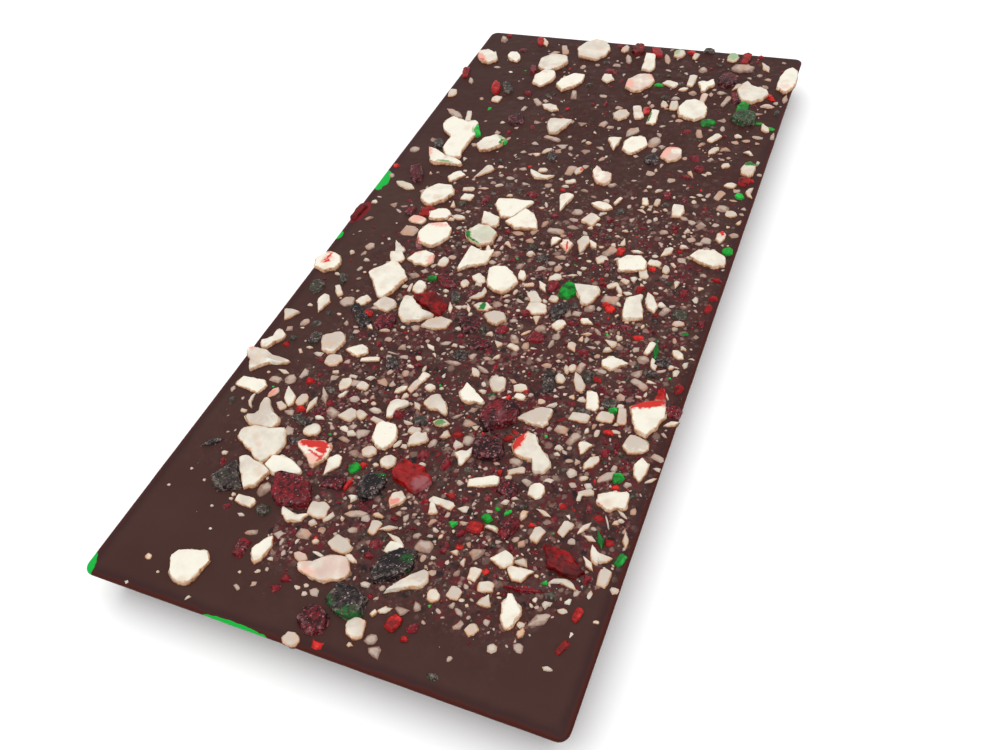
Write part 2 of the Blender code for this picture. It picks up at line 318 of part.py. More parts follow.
        ("bar", -8.1, 56.0, 3.6, 1.3, -75), ("round", -35.0, 28.7, 2.2, 2.0, 0),
        ("leaf", -33.9, 57.3, 2.8, 1.0, -60),
    ),
    "red": (
        ("block", 10.4, -72.5, 2.4, 1.8, 80), ("bar", 33.3, -63.7, 2.2, 1.2, 80),
        ("bar", 32.9, -68.6, 2.2, 1.0, 70), ("heart", 2.3, -50.1, 6.7, 5.6, 0),
        ("bar", -6.4, -54.5, 2.0, 0.9, 80), ("block", 15.0, -55.3, 2.4, 1.8, 10),
        ("ember", 28.9, -56.9, 6.8, 3.9, 0), ("block", -21.0, -19.9, 2.0, 1.5, 0),
        ("garnet", -11.1, -14.7, 7.4, 5.2, 0), ("leaf", 35.9, -22.1, 2.2, 1.5, 80),
        ("wedge", 33.6, -24.3, 4.0, 2.2, -80), ("leaf", 20.2, -7.6, 2.0, 1.6, 0),
        ("bar", 17.6, 7.3, 2.3, 1.4, 90), ("leaf", 36.1, -3.3, 2.2, 1.2, 90),
        ("block", -22.9, 9.5, 3.4, 3.0, 15), ("block", 34.5, 32.8, 2.8, 2.3, 90),
        ("bar", -36.7, 6.0, 5.2, 1.7, 88), ("bar", -36.4, 60.1, 4.6, 1.7, 108),
        ("leaf", -26.7, 55.3, 6.2, 2.2, -68), ("slab", 0.6, 77.4, 4.8, 3.2, -75),
        ("block", 5.2, 77.0, 4.6, 2.2, -60), ("bar", 25.5, 77.5, 4.8, 1.9, 90),
        ("leaf", -23.8, 77.2, 4.4, 1.8, -65), ("block", 9.4, 52.9, 2.4, 1.5, -70),
    ),
    "dark_red": (
        ("slab", -0.3, -75.7, 4.7, 4.1, 0), ("bar", -16.3, -69.1, 3.1, 1.9, 90),
        ("crater", -14.5, -58.2, 8.2, 5.6, 0), ("slab", 10.6, -35.4, 6.6, 5.4, 60),
        ("slab", 11.5, -41.8, 5.2, 4.7, 20), ("bar", -8.7, -54.7, 4.0, 2.7, 20),
        ("slab", -16.9, -21.1, 4.4, 3.2, 80), ("block", -2.0, -17.6, 4.0, 3.4, -50),
        ("block", 3.9, -17.5, 2.4, 1.8, 80), ("bar", -10.5, -8.5, 4.6, 2.1, -35),
        ("block", 10.3, -17.5, 2.7, 2.3, 0), ("block", 36.3, -26.8, 2.5, 2.3, 0),
        ("block", 17.2, -47.7, 3.1, 2.7, 0), ("bar", 19.8, -54.1, 3.7, 1.9, 75),
        ("block", -30.6, 20.6, 5.6, 2.8, -58), ("bar", 16.3, 2.9, 3.1, 1.1, -70),
        ("round", 23.5, 67.8, 5.6, 4.4, 90), ("leaf", -21.0, 64.5, 4.6, 1.6, -68),
        ("block", -17.2, 43.6, 4.0, 3.4, -45), ("block", 25.3, 34.9, 2.0, 1.7, 0),
        ("bar", -12.9, 15.6, 2.8, 1.4, 90), ("block", 1.6, -21.7, 3.5, 2.4, 20),
        ("bar", 8.7, -4.8, 2.7, 1.6, 90), ("leaf", -20.2, -0.1, 3.4, 1.5, -60),
        ("bar", 26.6, 61.3, 4.0, 1.6, -60), ("bar", -26.3, 8.9, 2.7, 1.8, 80),
        ("sliver", 25.0, -62.4, 5.8, 0.9, 10),
    ),
    "green": (
        ("block", 4.0, -72.9, 2.4, 1.7, 20), ("leaf", -7.0, -51.4, 2.3, 2.0, 90),
        ("leaf", 31.9, -41.2, 2.1, 1.6, 80), ("sliver", 32.6, -51.8, 3.1, 0.9, -62),
        ("bar", 36.2, -54.1, 2.1, 1.1, 75), ("leaf", 16.1, -53.4, 1.6, 1.3, 0),
        ("round", -13.5, -8.3, 1.8, 1.5, 0), ("slab", 11.8, -5.2, 4.3, 3.3, 80),
        ("sliver", 30.4, -15.0, 3.9, 1.0, -80), ("leaf", 27.4, -29.2, 1.6, 1.2, 60),
        ("round", 36.0, 12.0, 2.2, 1.9, 90), ("leaf", 34.6, 28.1, 1.8, 1.6, 0),
        ("round", 23.1, 51.0, 3.2, 2.7, 0), ("block", 28.9, 57.6, 4.8, 2.4, 90),
        ("bar", -24.2, 38.0, 4.8, 1.5, -62),
    ),
    "dark_green": (
        ("coal", -25.1, -58.8, 5.7, 5.6, 0), ("slab", 2.8, -71.8, 6.2, 4.9, 0),
        ("slab", 6.5, -64.8, 7.4, 4.4, 60), ("leaf", -16.8, -62.4, 2.5, 1.8, 0),
        ("leaf", -20.0, -45.2, 4.4, 1.5, -10), ("sliver", -32.0, -53.6, 4.2, 1.3, 38),
        ("slab", -2.9, -53.8, 5.2, 4.1, 80), ("bar", -1.1, -39.7, 2.4, 1.6, 0),
        ("slab", -33.9, -15.9, 3.5, 2.9, -60), ("bar", -22.0, -20.9, 6.3, 2.2, -42),
        ("block", -27.4, -28.1, 2.8, 2.1, 90), ("leaf", -7.2, -11.9, 3.6, 2.2, -50),
        ("round", -0.6, -24.8, 2.7, 2.4, 0), ("slab", 11.9, -10.4, 4.8, 2.8, 80),
        ("bar", 15.7, -26.4, 4.8, 2.1, -75), ("block", 26.5, -28.0, 2.2, 1.8, 0),
        ("block", 32.1, -17.3, 2.6, 2.0, 0), ("block", 4.4, 1.9, 2.2, 1.9, 0),
        ("leaf", -4.8, 32.6, 3.6, 2.0, -58), ("round", 15.3, 35.8, 3.6, 3.2, 90),
        ("slab", 29.9, 54.0, 5.4, 5.0, 0), ("block", -24.1, 55.7, 4.2, 2.0, -62),
        ("block", 31.9, -5.9, 2.3, 2.0, 0), ("leaf", -30.6, 31.9, 4.2, 2.4, -55),
        ("bar", -11.2, -29.7, 2.7, 2.1, -60), ("block", 16.6, 79.7, 2.4, 1.6, 0),
    ),
}

# Colour and roughness of the chocolate and of each kind of candy
FINISHES = {
    "chocolate": ((0.058, 0.029, 0.023), 0.38),
    "white": ((0.80, 0.75, 0.66), 0.45),
    "pink": ((0.80, 0.62, 0.55), 0.45),
    "red_striped": ((0.75, 0.25, 0.20), 0.40),
    "green_striped": ((0.45, 0.62, 0.40), 0.40),
    "filmed": ((0.33, 0.22, 0.18), 0.45),
    "red": ((0.55, 0.01, 0.01), 0.25),
    "dark_red": ((0.10, 0.006, 0.012), 0.40),
    "green": ((0.01, 0.25, 0.03), 0.25),
    "dark_green": ((0.012, 0.022, 0.016), 0.40),
}


def clear_scene():
    for thing in list(bpy.data.objects):
        bpy.data.objects.remove(thing, do_unlink=True)


def new_collection(name):
    collection = bpy.data.collections.new(name)
    bpy.context.scene.collection.children.link(collection)
    return collection


def make_finish(name):
    colour, roughness = FINISHES[name]
    material = bpy.data.materials.new(name)
    material.use_nodes = True
    shader = material.node_tree.nodes["Principled BSDF"]
    shader.inputs["Base Color"].default_value = (*colour, 1)
    shader.inputs["Roughness"].default_value = roughness
    shader.inputs["Metallic"].default_value = 0
    return material


def object_from(bm, name, collection, material):
    mesh = bpy.data.meshes.new(name)
    bm.to_mesh(mesh)
    bm.free()
    mesh.materials.append(material)
    thing = bpy.data.objects.new(name, mesh)
    collection.objects.link(thing)
    return thing


def is_upright(edge):
    first, second = edge.verts
    return abs(first.co.z - second.co.z) > BAR_THICKNESS / 2


def edges_at(bm, height):
    return [edge for edge in bm.edges if all(abs(v.co.z - height) < 0.1 * MM for v in edge.verts)]


# A cube drawn in towards its underside, with round corners, a small round at the rim and foot
def make_chocolate(collection, material):
    bm = bmesh.new()
    bmesh.ops.create_cube(bm, size=1)
    draw_in = BAR_THICKNESS * math.tan(WALL_DRAFT)
    for vert in bm.verts:
        inset = draw_in if vert.co.z < 0 else 0
        vert.co.x = math.copysign(BAR_WIDTH / 2 - inset, vert.co.x)
        vert.co.y = math.copysign(BAR_LENGTH / 2 - inset, vert.co.y)
        vert.co.z = BAR_THICKNESS if vert.co.z > 0 else 0
    corners = [edge for edge in bm.edges if is_upright(edge)]
    bmesh.ops.bevel(bm, geom=corners, offset=CORNER_RADIUS, segments=CORNER_STEPS, profile=0.5,
                    affect="EDGES")
    bmesh.ops.bevel(bm, geom=edges_at(bm, BAR_THICKNESS), offset=RIM_RADIUS, segments=RIM_STEPS,
                    profile=0.5, affect="EDGES")
    bmesh.ops.bevel(bm, geom=edges_at(bm, 0), offset=FOOT_RADIUS, segments=RIM_STEPS, profile=0.5,
                    affect="EDGES")
    return object_from(bm, "chocolate_bar", collection, material)


# A unit outline with its corners a little astray, stretched, turned and set in its place
def placed_outline(form, x, y, length, breadth, turn, rng):
    unit = np.array(OUTLINES[form], dtype=float)
    unit = unit * (1 + rng.uniform(-CORNER_DRIFT, CORNER_DRIFT, unit.shape))
    flat = unit * (length / 2, breadth / 2)
    cosine, sine = math.cos(math.radians(turn)), math.sin(math.radians(turn))
    turned = flat @ np.array(((cosine, sine), (-sine, cosine)))
    return turned + (x, y)


def shard_height(kind, length, breadth, rng):
    height = HEIGHT_SHARE * math.sqrt(length * breadth)
    height *= rng.uniform(1 - HEIGHT_DRIFT, 1 + HEIGHT_DRIFT)
    return min(max(height, LEAST_HEIGHT), MOST_HEIGHT) * KIND_HEIGHTS.get(kind, 1)


# The outline drawn in about its middle and held to what may stand out past the rim
def ring_about(middle, outline, scale):
    reach = np.array((BAR_WIDTH / 2 + OVERHANG, BAR_LENGTH / 2 + OVERHANG))
    return np.clip(middle + (outline - middle) * scale, -reach, reach)


def area_middle(points):
    following = np.roll(points, -1, axis=0)
    cross = points[:, 0] * following[:, 1] - following[:, 0] * points[:, 1]
    return ((points + following) * cross[:, None]).sum(axis=0) / (3 * cross.sum())


# A broken flake: its outline below the chocolate, and a smaller tilted copy of it as the top
def make_shard(number, kind, placing, collection, material):
    rng = np.random.default_rng(SEED + number)
    form, x, y, length, breadth, turn = placing
    outline = placed_outline(form, x, y, length, breadth, turn, rng)
    height = shard_height(kind, length, breadth, rng)
    middle = area_middle(outline)
    heading = rng.uniform(0, 2 * math.pi)
    tilt = rng.uniform(0, MOST_TILT) * height / (length / 2)
    top_scale = max(LEAST_TOP, 1 - SIDE_LEAN * height / (breadth / 2))
    root = ring_about(middle, outline, ROOT_SCALE)
    top = ring_about(middle, outline, top_scale)
    rise = (top - middle) @ (math.cos(heading), math.sin(heading)) * tilt
    bm = bmesh.new()
    low_ring = [bm.verts.new((px, py, BAR_THICKNESS - SINK)) for px, py in root]
    high_ring = [bm.verts.new((px, py, BAR_THICKNESS + height + lift))
                 for (px, py), lift in zip(top, rise)]
    bm.faces.new(low_ring)
    bm.faces.new(high_ring)
    for k in range(len(low_ring)):
        after = (k + 1) % len(low_ring)
        bm.faces.new((low_ring[k], low_ring[after], high_ring[after], high_ring[k]))
    bmesh.ops.recalc_face_normals(bm, faces=bm.faces)
    return object_from(bm, f"shard_{number}", collection, material)


def strewn(x, y):
    along = np.interp(y / MM, *np.transpose(STREWN_ALONG))
    across = np.interp(x / MM, *np.transpose(STREWN_ACROSS))
    bare = BARE_SHARE if x < BARE_CORNER_X * MM and y < BARE_CORNER_Y * MM else 1
    return along * across * bare


# Small shards fall where the strewing is thick, clear of the placed pieces and of each other
def strew_crumbs(taken):
    rng = np.random.default_rng(SEED)
    crumbs = []
    places = [((row[1], row[2]), (row[3] + row[4]) / 4) for row in taken]
    for _ in range(CRUMB_TRIES):
        x = rng.uniform(-1, 1) * (BAR_WIDTH / 2 - CRUMB_MARGIN)
        y = rng.uniform(-1, 1) * (BAR_LENGTH / 2 - CRUMB_MARGIN)
        length = CRUMB_LEAST + (CRUMB_MOST - CRUMB_LEAST) * rng.uniform() ** 2
        breadth = length * rng.uniform(*CRUMB_SLIMNESS)
        turn = rng.uniform(0, 360)
        form = CRUMB_FORMS[rng.integers(len(CRUMB_FORMS))]
        kind = CRUMB_KINDS[rng.choice(len(CRUMB_KINDS), p=CRUMB_ODDS)]
        wanted = rng.uniform() < strewn(x, y)
        reach = length / 2 + CRUMB_GAP
        clear = all(math.dist((x, y), place) > reach + radius for place, radius in places)
        if wanted and clear and len(crumbs) < CRUMB_COUNT:
            crumbs.append((kind, (form, x, y, length, breadth, turn)))
            places.append(((x, y), length / 2))
    return crumbs


def all_placings():
    placed = []
    for kind, rows in PLACED.items():
        for form, x, y, length, breadth, turn in rows:
            placed.append((kind, (form, x * MM, y * MM, length * MM, breadth * MM, turn)))
    return placed + strew_crumbs([placing for kind, placing in placed])


# One union of the slab with every shard, which then takes the slab's place
def fuse(bar, shards):
    union = bar.modifiers.new("fused candy", "BOOLEAN")
    union.operation = "UNION"
    union.operand_type = "COLLECTION"
    union.collection = shards
    union.solver = "EXACT"
    union.material_mode = "TRANSFER"
    view = bpy.context.evaluated_depsgraph_get()
    fused = bpy.data.meshes.new_from_object(bar.evaluated_get(view))
    bar.modifiers.remove(union)
    bar.data = fused
    for shard in list(shards.objects):
        bpy.data.objects.remove(shard, do_unlink=True)
    bpy.data.collections.remove(shards)


def main():
    clear_scene()
    finishes = {name: make_finish(name) for name in FINISHES}
    part = new_collection("chocolate_bar")
    shards = new_collection("shards")
    bar = make_chocolate(part, finishes["chocolate"])
    for number, (kind, placing) in enumerate(all_placings()):
        make_shard(number, kind, placing, shards, finishes[kind])
    fuse(bar, shards)


main()
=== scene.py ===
# A dark chocolate bar whose open face is strewn with crushed peppermint candy, lying candy side up.
# Metres, +Z up. +X runs across the bar, +Y along it, the origin is at the middle of the underside.
import math

import bpy
import numpy as np
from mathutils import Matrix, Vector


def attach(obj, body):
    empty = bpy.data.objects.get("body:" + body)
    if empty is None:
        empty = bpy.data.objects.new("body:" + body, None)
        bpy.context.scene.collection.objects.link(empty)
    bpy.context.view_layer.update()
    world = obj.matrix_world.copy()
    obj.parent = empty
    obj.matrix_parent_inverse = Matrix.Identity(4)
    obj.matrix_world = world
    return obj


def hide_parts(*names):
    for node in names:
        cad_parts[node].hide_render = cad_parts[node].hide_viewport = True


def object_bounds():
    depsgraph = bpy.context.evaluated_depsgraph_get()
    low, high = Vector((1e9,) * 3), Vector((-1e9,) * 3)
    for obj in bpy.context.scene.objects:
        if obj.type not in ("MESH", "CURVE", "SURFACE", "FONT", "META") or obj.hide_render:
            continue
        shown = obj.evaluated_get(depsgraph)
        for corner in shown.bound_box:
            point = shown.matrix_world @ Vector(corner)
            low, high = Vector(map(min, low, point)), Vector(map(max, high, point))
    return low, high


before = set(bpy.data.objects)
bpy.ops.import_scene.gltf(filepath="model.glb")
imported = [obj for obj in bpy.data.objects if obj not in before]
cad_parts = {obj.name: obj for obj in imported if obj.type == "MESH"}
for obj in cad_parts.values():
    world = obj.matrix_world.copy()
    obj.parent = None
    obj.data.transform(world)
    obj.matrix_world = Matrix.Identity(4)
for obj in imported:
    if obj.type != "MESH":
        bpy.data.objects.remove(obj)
cadLow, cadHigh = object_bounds()
mm = 0.001
tiny = 1e-12
barNode = "chocolate_bar"
waveCount = 24
wavePaces = (0.6, 1.6)


# smooth noise of spread 1: a sum of sine waves with random headings, paces and phases
def waves(points, size, seed):
    rng = np.random.default_rng(seed)
    heading = rng.normal(size=(waveCount, points.shape[-1]))
    heading /= np.linalg.norm(heading, axis=1, keepdims=True)
    pace = 2 * math.pi / size * rng.uniform(*wavePaces, waveCount)
    phase = rng.uniform(0, 2 * math.pi, waveCount)
    total = np.sin(points @ (heading * pace[:, None]).T + phase).sum(axis=-1)
    return total / math.sqrt(waveCount / 2)


# a mesh object from arrays of points, four-cornered faces and three-cornered faces
def makePiece(name, points, quads, triangles, material, marks, smooth=True):
    mesh = bpy.data.meshes.new(name)
    corners = np.concatenate([quads.ravel(), triangles.ravel()]).astype(np.int32)
    sizes = np.concatenate([np.full(len(quads), 4), np.full(len(triangles), 3)])
    starts = np.concatenate([[0], np.cumsum(sizes)[:-1]]).astype(np.int32)
    mesh.vertices.add(len(points))
    mesh.vertices.foreach_set("co", points.astype(np.float32).ravel())
    mesh.loops.add(len(corners))
    mesh.loops.foreach_set("vertex_index", corners)
    mesh.polygons.add(len(sizes))
    mesh.polygons.foreach_set("loop_start", starts)
    mesh.polygons.foreach_set("use_smooth", np.full(len(sizes), smooth))
    mesh.update(calc_edges=True)
    for markName, values in marks.items():
        mark = mesh.attributes.new(markName, "FLOAT", "POINT")
        mark.data.foreach_set("value", values.astype(np.float32).ravel())
    mesh.materials.append(material)
    piece = bpy.data.objects.new(name, mesh)
    bpy.context.scene.collection.objects.link(piece)
    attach(piece, "root")
    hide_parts(barNode)


# faces of closed forms made of rings from foot to top, with a pole under the first and over the last
def closedFaces(rings, around, count):
    here = np.arange(around)
    after = (here + 1) % around
    ring = (np.arange(rings - 1) * around)[:, None]
    quads = np.stack([ring + here, ring + after, ring + around + after, ring + around + here], -1)
    footPole = np.full(around, rings * around)
    last = (rings - 1) * around
    fans = np.concatenate([np.stack([after, here, footPole], -1),
                           np.stack([last + here, last + after, footPole + 1], -1)])
    shift = (np.arange(count) * (rings * around + 2))[:, None, None]
    return (quads.reshape(-1, 4) + shift).reshape(-1, 4), (fans + shift).reshape(-1, 3)


# a finish whose constants are set straight on its Principled sockets
def newFinish(name, **constants):
    material = bpy.data.materials.new(name)
    material.use_nodes = True
    shader = material.node_tree.nodes["Principled BSDF"]
    for socket, value in constants.items():
        shader.inputs[socket.replace("_", " ")].default_value = value
    return material, material.node_tree, shader


# a node with its settings, and each input either linked or set
def addNode(tree, kind, inputs=None, **settings):
    node = tree.nodes.new(kind)
    for setting, value in settings.items():
        setattr(node, setting, value)
    for socket, value in (inputs or {}).items():
        if isinstance(value, bpy.types.NodeSocket):
            tree.links.new(value, node.inputs[socket])
        else:
            node.inputs[socket].default_value = value
    return node


# places on a piece, in metres
def placeOn(tree):
    return addNode(tree, "ShaderNodeTexCoord").outputs["Object"]


# first + second or first * second, axis by axis
def vectorMath(tree, operation, first, second):
    return addNode(tree, "ShaderNodeVectorMath", {0: first, 1: second}, operation=operation).outputs[0]


# noise of one size, read at places shifted by the offset along each axis
def noiseOn(tree, size, detail=3.0, roughness=0.55, offset=0.0):
    moved = vectorMath(tree, "ADD", placeOn(tree), (offset, offset, offset))
    noise = addNode(tree, "ShaderNodeTexNoise", {"Vector": moved, "Scale": 1 / size,
                                                 "Detail": detail, "Roughness": roughness})
    return noise.outputs["Fac"]


# cells of about one size, their sides bent by warp * size * noise: distance from a cell's middle, and
# three random numbers for each cell
cellBend = {"paceShare": 2, "detail": 2.0}


def cellsOn(tree, size, warp):
    place = placeOn(tree)
    bent = addNode(tree, "ShaderNodeTexNoise", {"Vector": place, "Scale": cellBend["paceShare"] / size,
                                                "Detail": cellBend["detail"]})
    amount = vectorMath(tree, "MULTIPLY", bent.outputs["Color"], (warp * size,) * 3)
    cells = addNode(tree, "ShaderNodeTexVoronoi", {"Vector": vectorMath(tree, "ADD", place, amount),
                                                   "Scale": 1 / size})
    draws = addNode(tree, "ShaderNodeSeparateColor", {0: cells.outputs["Color"]})
    return cells.outputs["Distance"], draws.outputs


# noise drawn out along a line that is turned about Z
def streaksOn(tree, length, width, turn, detail):
    drawn = addNode(tree, "ShaderNodeMapping", {"Vector": placeOn(tree), "Scale": (length, width, width),
                                                "Rotation": (0, 0, math.radians(turn))},
                    vector_type="TEXTURE")
    noise = addNode(tree, "ShaderNodeTexNoise", {"Vector": drawn.outputs[0], "Scale": 1.0,
                                                 "Detail": detail})
    return noise.outputs["Fac"]


# eased from low and high to the two results: toLow + (toHigh - toLow) * smoothstep(low, high, value)
def ranged(tree, value, low, high, toLow=0.0, toHigh=1.0):
    node = addNode(tree, "ShaderNodeMapRange", {"Value": value, "From Min": low, "From Max": high,
                                                "To Min": toLow, "To Max": toHigh},
                   interpolation_type="SMOOTHSTEP")
    return node.outputs["Result"]


# noise eased over a range, both as they stand in the looks
def rangedNoise(tree, noise, reach):
    return ranged(tree, noiseOn(tree, *noise), *reach)


# first + share * (second - first); on the Mix node 0 is the share, and 6 and 7 are the two colours
def blended(tree, share, first, second):
    node = addNode(tree, "ShaderNodeMix", data_type="RGBA")
    for place, value in ((0, share), (6, first), (7, second)):
        if isinstance(value, bpy.types.NodeSocket):
            tree.links.new(value, node.inputs[place])
        else:
            node.inputs[place].default_value = (*value, 1)
    return node.outputs[2]


# first * second
def times(tree, first, second):
    return addNode(tree, "ShaderNodeMath", {0: first, 1: second}, operation="MULTIPLY").outputs[0]


# first + second
def plus(tree, first, second):
    return addNode(tree, "ShaderNodeMath", {0: first, 1: second}, operation="ADD").outputs[0]


# a number that each point of the piece carries
def markOf(tree, name):
    return addNode(tree, "ShaderNodeAttribute", attribute_name=name).outputs["Fac"]


# the shading tilted as if the surface rose by strength * depth * height
def bumped(tree, shader, height, strength, depth):
    bump = addNode(tree, "ShaderNodeBump", {"Height": height, "Strength": strength, "Distance": depth})
    tree.links.new(bump.outputs["Normal"], shader.inputs["Normal"])


# the chocolate slab; waves are size and seed
bar = {
    "width": 75.3 * mm,
    "length": 160.2 * mm,
    "thickness": 7 * mm,
    "draft": math.radians(20),
    "cornerRadius": 1.8 * mm,
    "rimRadius": 0.6 * mm,
    "footRadius": 1.0 * mm,
    "mostShrink": 0.6,
    "cellsAcross": 188,
    "cellsAlong": 400,
    "bendSteps": 5,
    "wallSteps": 5,
    "undersideRings": 6,
    "swell": 0.05 * mm,
    "swellWaves": (24 * mm, 1),
    "ripple": 0.035 * mm,
    "rippleWaves": (2.4 * mm, 2),
    "bareRipple": 0.25,
    "edgeFade": 3 * mm,
    "rimDrift": 0.012 * mm,
    "rimWaves": (9 * mm, 3),
    "rimReach": 5,
}

# how thickly the candy was strewn: along the bar, and across it at the left edge, as in the solid;
# the bare front is for the finest candy, which the scene alone has
strewing = {
    "along": ((-80, 0.0), (-72, 0.2), (-66, 0.9), (-40, 1.0), (-26, 0.7), (-8, 0.8), (18, 0.5), (32, 0.3),
              (80, 0.3)),
    "across": ((-37, 0.1), (-28, 0.3), (-14, 0.9), (30, 1.0), (37, 0.5)),
    "bareCorner": (-14 * mm, -58 * mm),
    "bareShare": 0.12,
    "bareFront": ((22, -90), (28, -69), (32, -62), (37, -57)),
    "frontShare": 0.1,
    "margin": 1.2 * mm,
    "farAway": 1e3,
    "forms": ("square", "wedge", "sliver"),
    "kinds": ("white", "filmed", "red", "darkRed", "darkGreen", "green"),
}


# share of candy at a place, from how it thins out along and across the bar and at the bare corner
def strewn(x, y):
    along = np.interp(y / mm, *np.transpose(strewing["along"]))
    across = np.interp(x / mm, *np.transpose(strewing["across"]))
    cornerX, cornerY = strewing["bareCorner"]
    return along * across * np.where((x < cornerX) & (y < cornerY), strewing["bareShare"], 1)


# the same for the finest candy, which stops at a slanting line before the front right corner
def strewnFinely(x, y):
    line = np.interp(x / mm, *np.transpose(strewing["bareFront"])) * mm
    return strewn(x, y) * np.where(y < line, strewing["frontShare"], 1)


# in each corner square a point is drawn to the square's inner corner by max(a, b) / hypot(a, b)
def withRoundCorners(x, y, halfWidth, halfLength, radius):
    a = np.abs(x) - (halfWidth - radius)
    b = np.abs(y) - (halfLength - radius)
    inCorner = (a > 0) & (b > 0)
    draw = np.where(inCorner, np.maximum(a, b) / np.maximum(np.hypot(a, b), tiny), 1)
    newX = np.where(inCorner, np.sign(x) * (halfWidth - radius + a * draw), x)
    newY = np.where(inCorner, np.sign(y) * (halfLength - radius + b * draw), y)
    return newX, newY


# a bend between two straight runs as (1-t)^2 start + 2t(1-t) corner + t^2 end
def bend(start, corner, end):
    t = np.linspace(0, 1, bar["bendSteps"])[:, None]
    return (1 - t) ** 2 * np.array(start) + 2 * t * (1 - t) * np.array(corner) + t ** 2 * np.array(end)


# rows of how far the wall is drawn in and its height, from the open face down to the underside:
# drawn in = depth * tan(draft), with a bend at the rim and at the foot
def wallProfile():
    lean = math.tan(bar["draft"])
    slope = np.array((math.sin(bar["draft"]), -math.cos(bar["draft"])))
    top = bar["thickness"]
    rimCorner = np.array((0, top))
    footCorner = np.array((top * lean, 0))
    rimBend = bend((bar["rimRadius"], top), rimCorner, rimCorner + slope * bar["rimRadius"])
    footBend = bend(footCorner - slope * bar["footRadius"], footCorner,
                    footCorner + (bar["footRadius"], 0))
    shares = np.linspace(0, 1, bar["wallSteps"])[1:-1, None]
    wall = rimBend[-1] + (footBend[0] - rimBend[-1]) * shares
    return np.concatenate([rimBend, wall, footBend])


# a height field on a grid for the open face, its edge carried down the wall profile, then to a pole:
# height = thickness + (swell + ripple) * (distance to the rim / edge fade) ^ 2
def makeSlab(material):
    across, along = bar["cellsAcross"] + 1, bar["cellsAlong"] + 1
    unitX, unitY = np.meshgrid(np.linspace(-1, 1, across), np.linspace(-1, 1, along))
    halfWidth, halfLength = bar["width"] / 2, bar["length"] / 2
    innerWidth, innerLength = halfWidth - bar["rimRadius"], halfLength - bar["rimRadius"]
    x, y = withRoundCorners(unitX * innerWidth, unitY * innerLength, innerWidth, innerLength,
                            bar["cornerRadius"] - bar["rimRadius"])
    flat = np.stack([x, y], -1).reshape(-1, 2)
    toRim = np.minimum(innerWidth - np.abs(flat[:, 0]), innerLength - np.abs(flat[:, 1]))
    fade = np.clip(toRim / bar["edgeFade"], 0, 1) ** 2
    rippling = bar["ripple"] * (bar["bareRipple"] + strewn(flat[:, 0], flat[:, 1]))
    lift = bar["swell"] * waves(flat, *bar["swellWaves"]) + rippling * waves(flat, *bar["rippleWaves"])
    face = np.column_stack([flat, bar["thickness"] + lift * fade])
    index = np.arange(across * along).reshape(along, across)
    loop = np.concatenate([index[0, :-1], index[:-1, -1], index[-1, :0:-1], index[:0:-1, 0]])
    loopX, loopY = unitX.ravel()[loop], unitY.ravel()[loop]
    rimPlaces = np.stack([loopX * halfWidth, loopY * halfLength], -1)
    drift = bar["rimDrift"] * waves(rimPlaces, *bar["rimWaves"])
    profile = wallProfile()[1:]
    rings = []
    for inset, height in profile:
        share = min(1, inset / bar["rimRadius"]) if height > bar["thickness"] / 2 else 1
        wide, long = halfWidth - inset + drift * (1 - share), halfLength - inset + drift * (1 - share)
        radius = bar["cornerRadius"] - min(inset, bar["mostShrink"] * bar["cornerRadius"])
        ringX, ringY = withRoundCorners(loopX * wide, loopY * long, wide, long, radius)
        rings.append(np.column_stack([ringX, ringY, np.full(len(loop), height)]))
    for share in np.linspace(1, 0, bar["undersideRings"] + 1)[1:-1]:
        rings.append(rings[len(profile) - 1] * (share, share, 0))
    points = np.concatenate([face, *rings, [(0, 0, 0)]])
    rows = [loop] + [len(face) + ring * len(loop) + np.arange(len(loop)) for ring in range(len(rings))]
    cells = np.stack([index[:-1, :-1], index[:-1, 1:], index[1:, 1:], index[1:, :-1]], -1)
    quads = [cells.reshape(-1, 4)]
    for upper, lower in zip(rows[:-1], rows[1:]):
        quads.append(np.stack([upper, lower, np.roll(lower, -1), np.roll(upper, -1)], -1))
    fan = np.stack([np.roll(rows[-1], -1), rows[-1], np.full(len(loop), len(points) - 1)], -1)
    toRim = np.minimum(halfWidth - np.abs(points[:, 0]), halfLength - np.abs(points[:, 1])) / mm
    marks = {
        "rim": np.clip(toRim + (bar["thickness"] - points[:, 2]) / mm, 0, bar["rimReach"]),
        "strewn": strewnFinely(points[:, 0], points[:, 1]),
    }
    makePiece("chocolateSlab", points, np.concatenate(quads), fan, material, marks)


